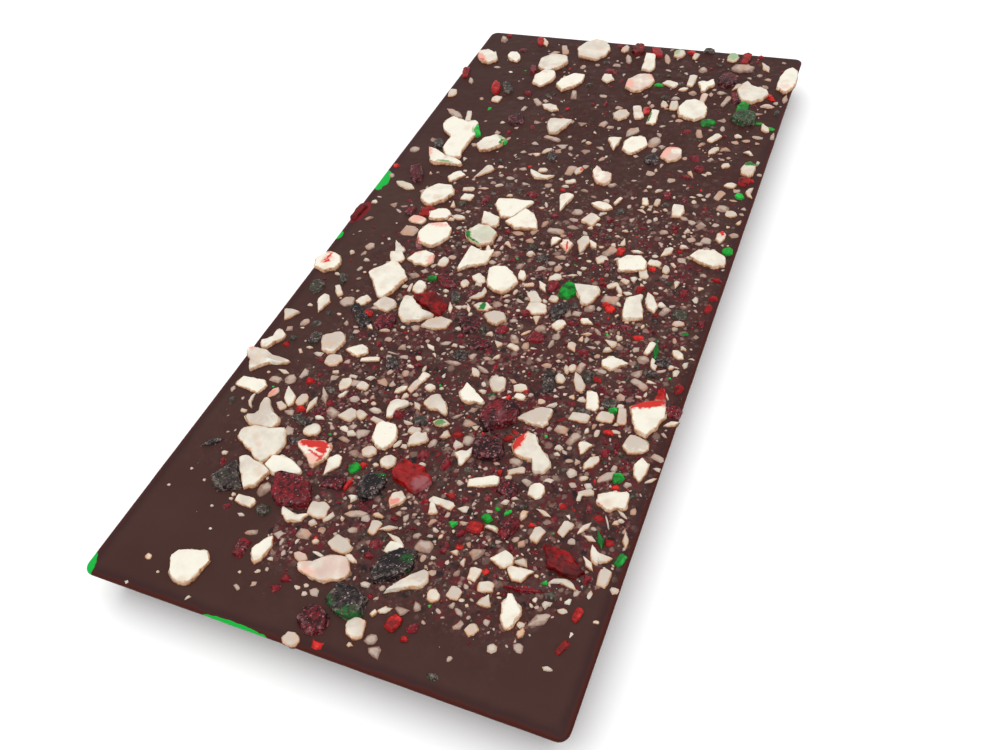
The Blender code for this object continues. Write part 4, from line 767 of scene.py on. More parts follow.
# broken outlines in a box from -1 to 1, with the length along X
outlines = {
    "slab": ((-1, -.25), (-.3, -.85), (.45, -1), (1, -.5), (.85, .55), (.1, 1), (-.7, .75)),
    "square": ((-1, -.9), (.85, -1), (1, .85), (-.8, 1)),
    "block": ((-1, -.7), (-.2, -1), (.9, -.85), (1, .5), (.3, 1), (-.8, .9)),
    "bar": ((-1, -.7), (.85, -1), (1, .4), (.75, 1), (-.9, .8)),
    "chip": ((-1, -.3), (.1, -1), (1, -.2), (.5, 1), (-.6, .8)),
    "kite": ((-1, 0), (.2, -1), (1, -.35), (.95, .45), (.3, 1)),
    "wedge": ((-1, .1), (.85, -1), (1, .2), (.75, 1)),
    "leaf": ((-1, -.05), (-.3, -.85), (.5, -1), (1, 0), (.35, .9), (-.5, .8)),
    "sliver": ((-1, -.1), (.2, -1), (1, -.1), (.1, 1)),
    "trapezoid": ((-1, -1), (.95, -.85), (1, -.2), (.3, 1), (-.35, .9)),
    "boat": ((-1, .8), (-.7, -.3), (-.1, -1), (.7, -.4), (1, .9), (.2, .15)),
    "egg": ((-1, -.3), (-.6, -.85), (.1, -1), (.75, -.65), (1, 0), (.75, .65), (.1, 1), (-.7, .8)),
    "round": ((-1, -.2), (-.4, -.95), (.45, -.9), (1, -.1), (.7, .75), (-.1, 1), (-.8, .6)),
    "anvil": ((-1, .19), (-.84, -.27), (-.57, -.66), (-.28, -.91), (.15, -1), (.61, -.94), (1, .61),
              (.51, 1), (-.51, .77), (-.84, .65)),
    "tear": ((1, -.46), (.82, -.08), (.18, .77), (-.14, 1), (-.54, .62), (-1, -.23), (-.54, -.69),
             (-.14, -.92), (.42, -1)),
    "wing": ((-1, -.23), (-.77, -.72), (-.07, -1), (.35, -.91), (1, -.19), (.86, .45), (.56, 1),
             (.33, 1), (-.23, .55), (-.49, .15), (-.77, .02)),
    "drop": ((-1, -1), (-.36, -.64), (.66, -.1), (1, .44), (.77, 1), (.47, 1), (-.02, .52),
             (-.47, -.08)),
    "pebble": ((-1, .37), (-1, -.06), (-.52, -.68), (.17, -1), (.66, -.83), (1, -.5), (1, -.06),
               (.72, .5), (.69, .93), (.17, 1), (-.52, .86)),
    "boot": ((-1, -.48), (-.84, -.74), (-.42, -1), (.89, -.9), (1, -.41), (.92, -.15), (.12, .34),
             (-.1, .57), (-.28, .9), (-.49, 1), (-.65, .9), (-.62, .5), (-.49, .02), (-.6, -.23),
             (-.9, -.31)),
    "shield": ((-1, .33), (-.98, -.06), (-.65, -.31), (-.07, -.64), (.33, -.93), (.6, -1), (.84, -.5),
               (1, -.25), (.91, .39), (.79, .61), (.67, 1), (.47, 1), (.12, .78), (-.58, .75),
               (-.93, .5)),
    "tongue": ((-1, -.35), (-.7, -.64), (-.3, -1), (0, -.75), (.82, -.35), (1, -.12), (.91, .14),
               (.45, .69), (.12, .92), (-.45, 1), (-.91, .81)),
    "tusk": ((-1, .79), (-.75, .43), (-.49, -.04), (.29, -1), (.48, -.9), (.77, -.64), (1, -.04),
             (1, .43), (.64, .68), (-.17, .88), (-.49, 1), (-.82, .96)),
    "fan": ((-1, .46), (-.82, .22), (-.04, -.42), (.38, -.9), (.61, -1), (.79, -.7), (1, .18),
            (.95, .58), (.77, .9), (.48, 1), (-.33, .8), (-.85, .6)),
    "heart": ((-1, .04), (-.7, -.43), (-.1, -.68), (.28, -.95), (.58, -1), (.88, -.43), (1, .04),
              (.88, .36), (.49, .4), (.49, .75), (.19, .86), (-.19, .75), (-.7, 1), (-.85, .5)),
    "shoe": ((-1, .44), (-.97, .15), (-.74, -.38), (-.2, -.47), (-.04, -.56), (.11, -.5), (.29, -.94),
             (.46, -1), (.83, -.96), (1, -.5), (.89, -.24), (.6, 0), (.09, .44), (-.2, .94), (-.4, 1),
             (-.77, .91)),
    "bone": ((-1, .28), (-.58, -.47), (0, -1), (.45, -.85), (.64, -.66), (.7, -.32), (1, .06),
             (.33, .47), (-.15, .74), (-.45, 1), (-.88, .92), (-.76, .55)),
    "horn": ((-1, -.03), (-.31, -.51), (.15, -1), (.46, -1), (.92, .14), (1, .68), (.77, 1), (.31, .46),
             (-.46, .3)),
    "pear": ((-1, .21), (-.91, -.29), (-.78, -.65), (0, -1), (.87, -.5), (1, -.24), (.96, .46),
             (.85, .92), (.52, 1), (.17, .77), (-.26, .72), (-.87, .31)),
    "flag": ((-1, 1), (-.89, .32), (-.71, -.32), (-.49, -.76), (.14, -1), (-.02, -.7), (.49, -.6),
             (.89, -.28), (1, .06), (.26, .13), (-.2, .19), (-.63, .63)),
    "fin": ((-.98, .36), (-.65, -.2), (-.4, -1), (-.27, -1), (.12, -.28), (.28, -.06), (.63, 0), (1, .4),
            (.9, .5), (.23, .54), (-.21, .92), (-.87, 1), (-1, .84)),
    "stork": ((-.31, .92), (-.18, .31), (-.59, -.08), (-1, -.23), (-.95, -.46), (-.31, -1), (.08, -.81),
              (.33, -.42), (.85, .23), (1, .54), (.33, 1), (-.08, 1)),
    "dome": ((-1, .12), (-.86, -.42), (-.55, -.73), (.27, -1), (.68, -1), (.95, -.23), (1, .35),
             (.82, .62), (.5, .9), (.23, 1), (-.09, .88), (-.95, .35)),
    "hammer": ((-1, .52), (-.76, -.33), (-.52, -.95), (-.1, -1), (.08, -.71), (.02, -.33), (.14, 0),
               (1, .71), (.85, .98), (-.52, .95)),
    "seal": ((-1, -.19), (-.8, -.46), (-.44, -.68), (.08, -.57), (.8, -1), (1, -.73), (.6, .03),
             (.28, .51), (-.12, .89), (-.52, 1), (-.72, .73)),
    "sail": ((-.98, -.19), (-.57, -1), (-.16, -.93), (.93, -.71), (1, -.48), (.05, .29), (-.59, .76),
             (-.89, 1)),
    "cliff": ((-1, -.69), (.17, -1), (.43, -.9), (.74, -.95), (1, -.54), (.85, -.18), (.96, .85),
              (.81, 1), (.25, .95), (-.13, .69), (-.77, -.28)),
    "gem": ((-1, .15), (-.53, -.23), (-.28, -.52), (.16, -1), (.41, -.96), (.6, -.8), (1, .25),
            (.31, .82), (.06, 1), (-.33, .9), (-.53, .7)),
    "hoof": ((-1, .25), (-.8, -.49), (-.39, -1), (.01, -.81), (.42, -.75), (1, -.17), (1, 0), (.3, .14),
             (-.62, 1), (-1, 1)),
    "slate": ((-1, .68), (-.76, -.24), (-.59, -.59), (.12, -.97), (.53, -1), (.82, -.18), (1, .06),
              (.24, .76), (-.06, 1), (-.35, 1), (-.71, .88)),
    "hull": ((-1, .06), (-.81, -.74), (-.52, -1), (-.14, -.97), (1, -.66), (.62, 0), (.24, .46),
             (.29, .86), (.05, 1), (-.43, .74), (-.9, .57)),
    "ember": ((-1, .95), (-.7, -.03), (-.56, -.64), (.24, -1), (.7, -.9), (1, -.28), (.53, .23),
              (.03, .9), (-.7, 1)),
    "crater": ((-1, .71), (-.68, -.36), (-.44, -.75), (.12, -1), (.95, -.7), (1, -.04), (.66, .71),
               (.29, .96), (-.12, 1)),
    "tent": ((-1, -.51), (-.54, -.8), (-.19, -1), (1, -.74), (.97, -.41), (.74, .11), (.45, .57),
             (-.19, 1), (-.36, .7), (-.54, .18)),
    "flint": ((-1, .95), (-1, -.85), (-.84, -1), (-.36, -.55), (.84, -.21), (1, .47), (.92, 1),
              (.2, .71)),
    "stump": ((-1, .58), (-.67, .23), (-.29, .09), (-.18, -.05), (-.18, -.61), (.22, -.96), (.44, -1),
              (.96, -.92), (.84, -.61), (.89, .19), (1, .23), (.73, .51), (.67, .86), (.51, .97),
              (.22, .9), (-.29, .97), (-.71, 1), (-.93, .86)),
    "fish": ((-1, 1), (-.83, .12), (-.54, -.77), (-.25, -1), (.42, -.77), (.92, -.81), (1, -.54),
             (.73, -.23), (.42, 0), (0, .12), (-.25, .42), (-.63, .77)),
    "spear": ((-.83, 1), (-.96, .37), (-.52, -.47), (-.09, -.8), (.65, -.97), (.91, -.57), (.96, -.13),
              (.78, .37), (-.17, .47)),
    "sack": ((-.56, 1), (-.71, .67), (-.97, .09), (-.82, -.37), (-.53, -.91), (-.18, -1), (.26, -.91),
             (.79, -.53), (1, -.02), (.85, .33), (-.18, .6)),
    "molar": ((.6, 1), (0, .45), (-.65, .53), (-1, .3), (-.45, -.3), (-.15, -1), (.25, -.9), (.35, -.3),
              (.95, .14)),
    "coal": ((-.97, -.25), (-.82, -.64), (-.23, -1), (.86, -.5), (1, -.32), (.3, .46), (-.05, .98),
             (-.3, 1), (-.75, .18)),
    "lantern": ((-1, .36), (-.72, -.17), (-.38, -.76), (-.14, -.95), (.34, -1), (.79, -.36), (1, .17),
                (.86, .65), (.76, .97), (.55, 1), (-.17, .79), (-.72, .52)),
    "garnet": ((-1, .38), (-.62, -.12), (-.08, -.42), (.51, -1), (.84, -.92), (1, .08), (.41, .65),
               (.03, 1), (-.51, .65)),
}

# the pieces that stand out, each as outline, place across and along the bar, length, breadth and turn
placedCandy = {
    "white": (
        ("anvil", -22.4, -74.2, 6.1, 5.7, 0), ("tear", -13.3, -68.5, 5.0, 2.6, 90),
        ("bar", -20.3, -61.8, 3.5, 1.7, 0), ("boat", -11.8, -61.8, 5.0, 2.6, 0),
        ("block", -8.5, -59.8, 3.2, 2.8, 10), ("block", -2.4, -64.1, 3.7, 2.5, -15),
        ("drop", 9.8, -66.5, 5.3, 5.0, 0), ("block", 5.4, -62.2, 2.8, 2.3, 0),
        ("sliver", 4.9, -60.7, 3.8, 0.9, -20), ("bar", 1.0, -59.9, 2.4, 1.6, 90),
        ("sliver", 3.0, -59.4, 2.8, 0.9, 25), ("pebble", 5.8, -74.9, 2.9, 3.3, 0),
        ("egg", -1.8, -79.1, 2.6, 2.0, 0), ("kite", 20.6, -59.1, 3.4, 2.9, 15),
        ("trapezoid", 23.8, -60.5, 3.7, 2.2, 180), ("boat", 30.0, -59.9, 4.1, 1.5, 180),
        ("bar", 17.9, -62.4, 2.2, 1.7, 90), ("block", 20.2, -63.7, 2.2, 1.7, 20),
        ("wedge", 20.9, -65.5, 2.0, 2.0, -90), ("bone", 24.8, -66.0, 3.3, 5.3, 0),
        ("round", 13.9, -67.2, 2.0, 1.8, 90), ("block", 16.5, -65.9, 2.0, 1.9, 0),
        ("block", 20.8, -70.1, 1.8, 1.5, 60), ("fin", -33.1, -35.6, 9.1, 5.0, 0),
        ("bar", -32.6, -40.9, 5.6, 2.9, -2), ("sliver", -28.6, -36.7, 2.6, 0.8, -8),
        ("kite", -24.8, -41.2, 4.6, 2.1, -55), ("egg", -22.2, -41.4, 2.8, 1.9, 80),
        ("sliver", -20.1, -41.9, 3.8, 1.1, 88), ("bar", -25.0, -43.5, 2.0, 1.3, -35),
        ("boat", -30.6, -44.0, 3.3, 1.0, -70), ("boot", -26.4, -45.8, 6.3, 6.1, 0),
        ("shield", -24.2, -51.4, 8.6, 7.2, 0), ("tongue", -17.7, -54.5, 6.6, 3.5, 0),
        ("tusk", -22.7, -57.2, 6.2, 5.6, 0), ("round", -17.2, -46.6, 3.0, 2.6, 20),
        ("leaf", -16.8, -36.2, 3.0, 2.2, 80), ("block", -13.7, -35.8, 2.0, 1.7, 0),
        ("kite", -13.1, -42.2, 3.2, 3.0, 20), ("round", -21.4, -31.9, 3.2, 2.9, 20),
        ("bar", -11.1, -41.4, 2.2, 1.5, -25), ("bar", -7.7, -41.8, 2.6, 1.0, -12),
        ("leaf", -7.1, -34.7, 2.6, 1.3, 50), ("bar", -5.2, -33.3, 3.0, 1.3, 75),
        ("round", -2.5, -32.9, 2.0, 1.6, 0), ("seal", 0.3, -35.9, 5.0, 3.7, 0),
        ("sail", 5.1, -32.3, 4.7, 4.2, 0), ("sliver", -2.9, -37.1, 2.2, 1.0, -40),
        ("hammer", -5.9, -38.8, 3.4, 4.2, 0), ("bar", -1.1, -41.9, 2.0, 1.5, 0),
        ("leaf", 0.1, -43.3, 3.9, 2.7, 60), ("egg", -5.2, -44.2, 5.7, 4.2, -70),
        ("round", -6.2, -47.7, 2.4, 2.2, 0), ("round", -2.4, -48.6, 2.5, 2.6, 0),
        ("kite", -10.6, -51.9, 4.3, 2.6, 80), ("horn", 8.1, -44.0, 2.6, 3.7, 0),
        ("bar", 8.8, -53.0, 4.2, 1.4, -5), ("wedge", 7.6, -54.0, 3.0, 1.5, -60),
        ("bar", 13.2, -47.7, 5.0, 1.8, 25), ("cliff", 16.1, -33.6, 5.3, 3.9, 0),
        ("block", 22.9, -31.9, 3.3, 1.8, 5), ("wedge", 25.4, -37.6, 2.7, 2.3, 90),
        ("leaf", 27.3, -39.7, 3.5, 1.7, 65), ("bar", 17.2, -44.4, 2.6, 1.2, 30),
        ("egg", 21.3, -46.9, 3.1, 2.5, 90), ("dome", 32.8, -34.7, 3.9, 3.6, 180),
        ("leaf", 34.6, -38.8, 4.5, 2.3, 98), ("pear", 32.3, -45.2, 4.6, 4.0, 0),
        ("bar", 28.3, -45.1, 2.4, 1.1, 30), ("bar", 27.4, -51.7, 2.7, 1.6, 75),
        ("sliver", 29.9, -50.8, 3.0, 0.9, 62), ("sliver", 31.2, -52.1, 2.2, 0.8, -12),
        ("flag", 33.4, -54.3, 3.5, 3.2, 0), ("sliver", 32.2, -55.9, 2.8, 0.9, -42),
        ("bar", 34.9, -57.4, 2.9, 1.7, 90), ("sliver", 36.0, -50.8, 2.8, 0.8, -72),
        ("sliver", 23.6, -50.1, 2.8, 0.7, -15), ("bar", 24.0, -53.8, 2.5, 1.8, 80),
        ("gem", -21.9, -10.9, 8.1, 9.9, 0), ("egg", -14.8, -11.3, 3.6, 2.6, 100),
        ("hoof", -12.6, -17.2, 6.9, 6.3, 0), ("block", -18.9, -17.0, 3.8, 3.2, -15),
        ("square", -23.3, -17.1, 2.8, 2.1, 60), ("bar", -29.2, -15.9, 3.0, 1.2, -50),
        ("kite", -30.5, -19.8, 4.5, 2.6, 98), ("wedge", -35.1, -24.2, 3.0, 3.2, 88),
        ("stork", -34.6, -30.6, 3.9, 5.2, 0), ("dome", -23.8, -28.1, 4.4, 5.2, 0),
        ("kite", -18.5, -28.8, 4.0, 3.1, 10), ("bar", -15.3, -30.0, 3.5, 1.0, 20),
        ("sliver", -19.4, -22.6, 2.8, 0.9, -30), ("round", -7.1, -8.1, 1.9, 1.7, 90),
        ("boat", -3.2, -10.0, 3.8, 2.0, 65), ("bar", 6.5, -8.4, 3.6, 2.0, -45),
        ("slab", 7.9, -10.8, 3.8, 3.0, 10), ("block", 9.9, -7.7, 1.7, 1.6, 0),
        ("block", 13.0, -13.6, 2.5, 2.0, 60), ("wedge", 8.9, -13.5, 2.1, 1.3, 110),
        ("sliver", -7.1, -14.5, 3.3, 0.9, -65), ("sliver", -3.8, -13.9, 2.9, 0.7, -60),
        ("leaf", -7.7, -19.0, 5.6, 3.3, 28), ("wedge", 4.4, -20.5, 1.8, 1.3, -30),
        ("bar", 7.3, -20.6, 2.2, 1.1, -15), ("leaf", 3.4, -27.7, 2.6, 1.3, -40),
        ("egg", 8.0, -29.1, 3.8, 2.8, -60), ("block", 11.8, -28.8, 2.3, 1.6, 30),
        ("block", 12.4, -30.6, 1.8, 1.3, 0), ("bar", -4.6, -31.2, 2.3, 1.5, 80),
        ("kite", 17.4, -11.6, 2.7, 1.5, 165), ("bar", 29.2, -14.8, 3.3, 1.2, 80),
        ("leaf", 30.8, -18.0, 2.9, 1.1, -65), ("leaf", 33.9, -14.9, 2.6, 1.5, -35),
        ("wedge", 22.6, -15.3, 2.4, 1.5, -20), ("kite", 16.9, -17.9, 2.4, 1.7, 130),
        ("kite", 24.8, -19.6, 4.6, 3.2, 195), ("egg", 18.4, -22.4, 1.9, 1.2, 85),
        ("leaf", 17.3, -25.0, 2.5, 1.6, -55), ("leaf", 20.5, -25.1, 4.9, 1.7, -58),
        ("bar", 23.7, -28.2, 4.0, 2.2, -70), ("block", 26.7, -30.7, 2.7, 2.2, 0),
        ("bar", 29.1, -29.9, 3.5, 1.6, -75), ("sliver", 36.6, -29.2, 2.8, 0.9, 35),
        ("leaf", -31.2, 16.4, 5.2, 1.9, -15), ("slab", -23.3, 14.8, 7.7, 6.0, 80),
        ("wedge", -18.8, 13.0, 2.2, 1.0, -70), ("square", -16.9, 15.7, 2.5, 2.0, 0),
        ("bar", -17.6, 18.2, 2.6, 1.3, 15), ("egg", -15.9, 9.4, 2.9, 1.4, -5),
        ("slab", -18.5, 3.0, 7.7, 6.8, 100), ("slab", -17.8, -3.8, 5.3, 4.0, 10),
        ("wedge", -23.9, -1.8, 4.8, 2.3, -50), ("block", -22.7, -4.7, 3.4, 2.8, -60),
        ("egg", -13.4, -3.7, 2.7, 2.1, 90), ("trapezoid", -6.7, 14.2, 7.4, 5.6, 182),
        ("tent", -3.1, 11.6, 6.9, 6.1, 0), ("kite", -9.8, 10.3, 5.6, 3.8, -45),
        ("flint", -7.5, -1.8, 5.0, 7.6, 0), ("sliver", -6.6, 2.0, 2.5, 1.0, -70),
        ("wedge", -3.2, 4.0, 2.1, 1.1, 140), ("slate", -0.8, -5.6, 6.8, 6.8, 0),
        ("block", -5.1, -6.2, 2.9, 1.9, -35), ("leaf", 1.7, -14.8, 4.4, 3.4, -10),
        ("leaf", 2.3, -3.4, 3.2, 1.6, -60), ("sliver", 6.9, -5.1, 3.5, 1.3, -50),
        ("leaf", 8.3, -2.5, 2.8, 1.8, 45), ("trapezoid", 15.3, -4.8, 5.8, 4.0, -60),
        ("wedge", 2.7, 18.5, 5.6, 3.0, 95), ("square", 9.4, 14.7, 3.2, 2.9, 70),
        ("wedge", 4.8, 7.0, 2.9, 2.0, 85), ("kite", 10.3, 7.4, 5.2, 2.4, 95),
        ("sliver", 12.0, 8.0, 3.2, 1.2, -45), ("slab", 33.2, 9.2, 6.8, 4.3, -5),
        ("kite", 25.6, 9.1, 3.4, 1.6, 62), ("block", 24.3, 5.7, 2.5, 1.7, 0),
        ("leaf", 26.7, 4.6, 2.5, 1.5, -70), ("wedge", 29.5, 1.1, 2.0, 1.0, 95),
        ("wedge", 17.3, 10.0, 2.2, 1.1, -85), ("block", 14.9, 4.3, 2.2, 1.9, 40),
        ("slab", 20.4, 4.3, 5.4, 5.0, 40), ("bar", 22.9, 2.9, 3.8, 1.6, -60),
        ("bar", 18.9, -1.8, 2.3, 1.1, 42), ("bar", 20.6, -0.2, 1.6, 1.1, -20),
        ("hull", 24.3, -6.2, 4.2, 7.0, 0), ("leaf", 26.5, -4.3, 5.5, 1.9, -63),
        ("stump", -28.0, 34.4, 9.0, 14.3, 0), ("bar", -28.3, 42.9, 4.6, 1.3, -72),
        ("bar", -22.0, 21.7, 3.7, 2.4, 60), ("wedge", -16.9, 24.2, 5.2, 2.3, 62),
        ("trapezoid", -7.5, 43.1, 5.2, 5.8, 180), ("wedge", 6.4, 39.7, 4.6, 3.0, 105),
        ("slab", 10.5, 39.8, 6.3, 4.8, 85), ("boat", -5.0, 25.8, 5.6, 2.6, -12),
        ("block", -5.1, 27.7, 1.9, 1.3, 10), ("leaf", -6.6, 34.3, 2.6, 1.3, 55),
        ("bar", 1.7, 25.3, 2.2, 1.1, 28), ("leaf", 10.2, 19.3, 4.6, 2.5, -8),
        ("bar", 12.7, 21.5, 2.6, 0.8, 72), ("leaf", 26.5, 41.6, 3.2, 1.5, 62),
        ("leaf", 29.9, 37.1, 2.2, 1.5, 65), ("leaf", 32.2, 31.1, 2.5, 1.7, 20),
        ("boat", 36.2, 29.7, 3.4, 1.5, -85), ("bar", 17.8, 22.5, 2.4, 1.3, -72),
        ("bar", 20.1, 22.8, 2.0, 1.1, 90), ("block", 24.5, 21.2, 3.9, 2.4, -78),
        ("egg", 34.2, 22.5, 2.3, 1.9, 5), ("egg", -27.5, 69.0, 4.8, 3.0, -55),
        ("slab", -17.4, 67.8, 7.8, 6.6, 80), ("slab", -17.1, 61.0, 6.6, 5.0, 85),
        ("egg", -9.7, 75.4, 9.2, 7.9, 98), ("slab", -10.7, 60.6, 7.8, 4.8, 70),
        ("chip", -2.8, 63.9, 3.9, 2.9, -65), ("bar", 4.6, 72.2, 7.8, 3.0, -80),
        ("bar", 11.7, 64.2, 3.6, 2.2, -18), ("round", 4.6, 50.2, 4.2, 3.2, 80),
        ("bar", 7.8, 51.8, 5.4, 2.2, -68), ("leaf", -11.5, 50.0, 4.8, 2.2, -18),
        ("egg", 18.9, 54.9, 8.0, 6.4, 95), ("bar", 14.6, 56.0, 3.4, 1.9, -80),
        ("leaf", 12.5, 56.0, 3.2, 1.5, -65), ("bar", 25.7, 45.9, 3.6, 1.6, 62),
        ("sack", 29.6, 64.1, 6.8, 8.6, 0), ("wedge", 26.0, 65.5, 3.2, 1.9, 60),
        ("molar", 19.3, 64.9, 4.0, 5.7, 0), ("bar", 15.9, 66.4, 5.0, 1.8, 92),
        ("leaf", 14.9, 62.7, 2.4, 1.3, 35), ("bar", 14.2, 76.8, 2.8, 1.3, 88),
        ("sliver", 30.4, 74.8, 4.6, 1.5, -58), ("egg", 35.9, 70.2, 10.4, 4.0, 88),
        ("block", -36.0, 51.3, 3.2, 2.0, -75), ("block", -24.8, 50.9, 2.6, 2.1, 90),
        ("kite", 34.7, 51.5, 3.2, 1.7, -60),
    ),
    "pink": (
        ("wing", -2.7, -68.1, 8.6, 4.7, 0), ("leaf", -7.1, -67.6, 2.6, 1.4, -10),
        ("leaf", -27.9, -41.4, 2.5, 1.4, 75), ("block", -23.7, 6.7, 3.8, 2.2, -5),
        ("spear", 7.2, 28.4, 4.6, 6.0, 0), ("egg", 18.8, 38.4, 5.0, 4.1, 75),
        ("slab", 4.8, 63.1, 7.7, 6.2, 82), ("leaf", -2.5, 77.2, 3.6, 1.9, -85),
        ("sliver", -22.5, 77.0, 4.4, 1.4, -60), ("bar", 4.4, -5.5, 1.9, 0.8, 25),
        ("bar", 20.0, 60.1, 3.8, 1.4, 90), ("sliver", -14.8, 19.2, 2.5, 0.7, 10),
        ("sliver", 18.2, -14.4, 2.0, 0.6, 20), ("sliver", 11.1, -1.1, 2.0, 0.6, 20),
    ),
    "redStriped": (
        ("fan", -15.2, -50.7, 6.2, 5.0, 0), ("shoe", 18.4, -40.5, 7.0, 6.8, 0),
        ("lantern", 32.7, -29.1, 5.8, 7.5, 0), ("egg", -35.2, -9.4, 5.4, 5.3, 90),
        ("slab", -20.0, 9.1, 4.6, 3.8, 35), ("kite", 7.5, 6.3, 3.6, 2.4, 110),
        ("leaf", 33.9, 15.6, 3.4, 1.8, 95), ("leaf", 2.1, 29.1, 2.8, 1.5, 85),
        ("slab", -34.1, 68.0, 7.0, 4.6, -40), ("leaf", 1.9, -54.5, 3.2, 2.4, 80),
        ("fish", -27.0, 27.2, 9.6, 5.2, 0),
    ),
    "greenStriped": (
        ("leaf", -1.5, -12.9, 3.5, 2.2, 8), ("slab", -9.5, 5.2, 6.4, 5.6, -10),
        ("slab", -19.4, 34.0, 6.8, 4.8, 60), ("egg", 34.4, 36.8, 4.8, 2.7, 90),
        ("bar", 11.5, 50.7, 5.8, 2.1, -85), ("egg", 22.5, 77.7, 4.0, 2.5, 90),
        ("egg", 10.3, 77.2, 3.8, 2.6, 95), ("leaf", 2.3, -39.2, 2.8, 1.6, 10),
    ),
    "filmed": (
        ("leaf", -18.7, -59.0, 3.1, 2.1, 90), ("block", -8.6, -64.1, 2.2, 1.6, 0),
        ("leaf", -2.8, -58.6, 3.6, 1.2, 20), ("block", 9.4, -60.5, 2.6, 2.0, 0),
        ("sliver", 28.7, -65.9, 3.4, 1.9, 45), ("bar", -29.1, -38.7, 2.2, 1.4, 0),
        ("round", -26.6, -37.9, 2.3, 1.9, 90), ("sliver", -19.0, -39.4, 4.0, 1.1, -55),
        ("bar", -15.9, -42.3, 2.6, 1.6, -25), ("block", 20.9, -34.9, 2.0, 1.4, 0),
        ("bar", 23.3, -36.2, 2.7, 1.4, 70), ("leaf", 30.2, -41.5, 3.0, 1.5, 50),
        ("chip", -26.3, -18.1, 2.9, 2.6, 0), ("leaf", -31.4, -25.0, 2.0, 1.3, 70),
        ("leaf", 4.3, -26.7, 2.9, 0.9, -20), ("leaf", -1.2, -26.7, 3.3, 1.0, 5),
        ("leaf", 6.8, -18.7, 2.4, 1.5, -40), ("leaf", 16.8, -8.4, 2.3, 1.7, 60),
        ("bar", 29.7, -22.7, 3.2, 1.3, -25), ("round", 28.9, -17.4, 2.1, 1.9, 0),
        ("bar", 19.7, -21.9, 2.3, 1.1, 85), ("leaf", 19.8, -13.3, 2.1, 0.8, -40),
        ("bar", 19.6, -5.4, 3.0, 2.0, 0), ("bar", 29.3, -5.8, 2.3, 1.4, 70),
        ("leaf", -4.6, 1.0, 2.2, 1.6, 60), ("leaf", 7.9, 0.1, 2.0, 1.4, 90),
        ("block", -23.8, 3.2, 3.4, 3.0, 0), ("bar", 4.0, 10.0, 3.2, 1.5, 0),
        ("block", 6.2, 16.4, 2.0, 1.7, 0), ("bar", 15.7, 6.9, 2.9, 1.9, 60),
        ("block", 31.6, 14.1, 1.7, 1.5, 0), ("chip", -29.4, -2.9, 1.9, 1.8, 0),
        ("leaf", -32.0, 43.6, 5.8, 1.8, -28), ("bar", -7.0, 38.9, 4.0, 1.2, -14),
        ("bar", 0.5, 28.9, 3.3, 1.9, 85), ("egg", 14.2, 41.9, 4.0, 2.5, 85),
        ("bar", 30.9, 27.6, 2.7, 1.5, 75), ("block", 32.4, 23.8, 2.3, 1.9, 0),
        ("bar", -16.6, 74.4, 4.4, 1.5, -65), ("leaf", -33.2, 76.6, 3.8, 1.7, -60),
        ("bar", -15.2, 51.7, 3.2, 1.3, -48), ("leaf", 8.7, 44.7, 4.0, 2.2, 65),
        ("bar", 22.3, 46.9, 3.2, 1.3, -72), ("block", 25.6, 73.6, 4.8, 3.3, 5),
        ("round", 17.2, 71.4, 2.6, 1.8, 90), ("bar", 24.9, 60.0, 4.2, 1.2, 78),
        ("leaf", -0.5, 73.0, 4.6, 1.3, -68), ("leaf", 8.2, 74.7, 4.6, 1.2, -68),
        ("bar", -8.1, 56.0, 3.6, 1.3, -75), ("round", -35.0, 28.7, 2.2, 2.0, 0),
        ("leaf", -33.9, 57.3, 2.8, 1.0, -60),
    ),
    "red": (
        ("block", 10.4, -72.5, 2.4, 1.8, 80), ("bar", 33.3, -63.7, 2.2, 1.2, 80),
        ("bar", 32.9, -68.6, 2.2, 1.0, 70), ("heart", 2.3, -50.1, 6.7, 5.6, 0),
        ("bar", -6.4, -54.5, 2.0, 0.9, 80), ("block", 15.0, -55.3, 2.4, 1.8, 10),
        ("ember", 28.9, -56.9, 6.8, 3.9, 0), ("block", -21.0, -19.9, 2.0, 1.5, 0),
        ("garnet", -11.1, -14.7, 7.4, 5.2, 0), ("leaf", 35.9, -22.1, 2.2, 1.5, 80),
        ("wedge", 33.6, -24.3, 4.0, 2.2, -80), ("leaf", 20.2, -7.6, 2.0, 1.6, 0),
        ("bar", 17.6, 7.3, 2.3, 1.4, 90), ("leaf", 36.1, -3.3, 2.2, 1.2, 90),
        ("block", -22.9, 9.5, 3.4, 3.0, 15), ("block", 34.5, 32.8, 2.8, 2.3, 90),
        ("bar", -36.7, 6.0, 5.2, 1.7, 88), ("bar", -36.4, 60.1, 4.6, 1.7, 108),
        ("leaf", -26.7, 55.3, 6.2, 2.2, -68), ("slab", 0.6, 77.4, 4.8, 3.2, -75),
        ("block", 5.2, 77.0, 4.6, 2.2, -60), ("bar", 25.5, 77.5, 4.8, 1.9, 90),
        ("leaf", -23.8, 77.2, 4.4, 1.8, -65), ("block", 9.4, 52.9, 2.4, 1.5, -70),
    ),
    "darkRed": (
        ("slab", -0.3, -75.7, 4.7, 4.1, 0), ("bar", -16.3, -69.1, 3.1, 1.9, 90),
        ("crater", -14.5, -58.2, 8.2, 5.6, 0), ("slab", 10.6, -35.4, 6.6, 5.4, 60),
        ("slab", 11.5, -41.8, 5.2, 4.7, 20), ("bar", -8.7, -54.7, 4.0, 2.7, 20),
        ("slab", -16.9, -21.1, 4.4, 3.2, 80), ("block", -2.0, -17.6, 4.0, 3.4, -50),
        ("block", 3.9, -17.5, 2.4, 1.8, 80), ("bar", -10.5, -8.5, 4.6, 2.1, -35),
        ("block", 10.3, -17.5, 2.7, 2.3, 0), ("block", 36.3, -26.8, 2.5, 2.3, 0),
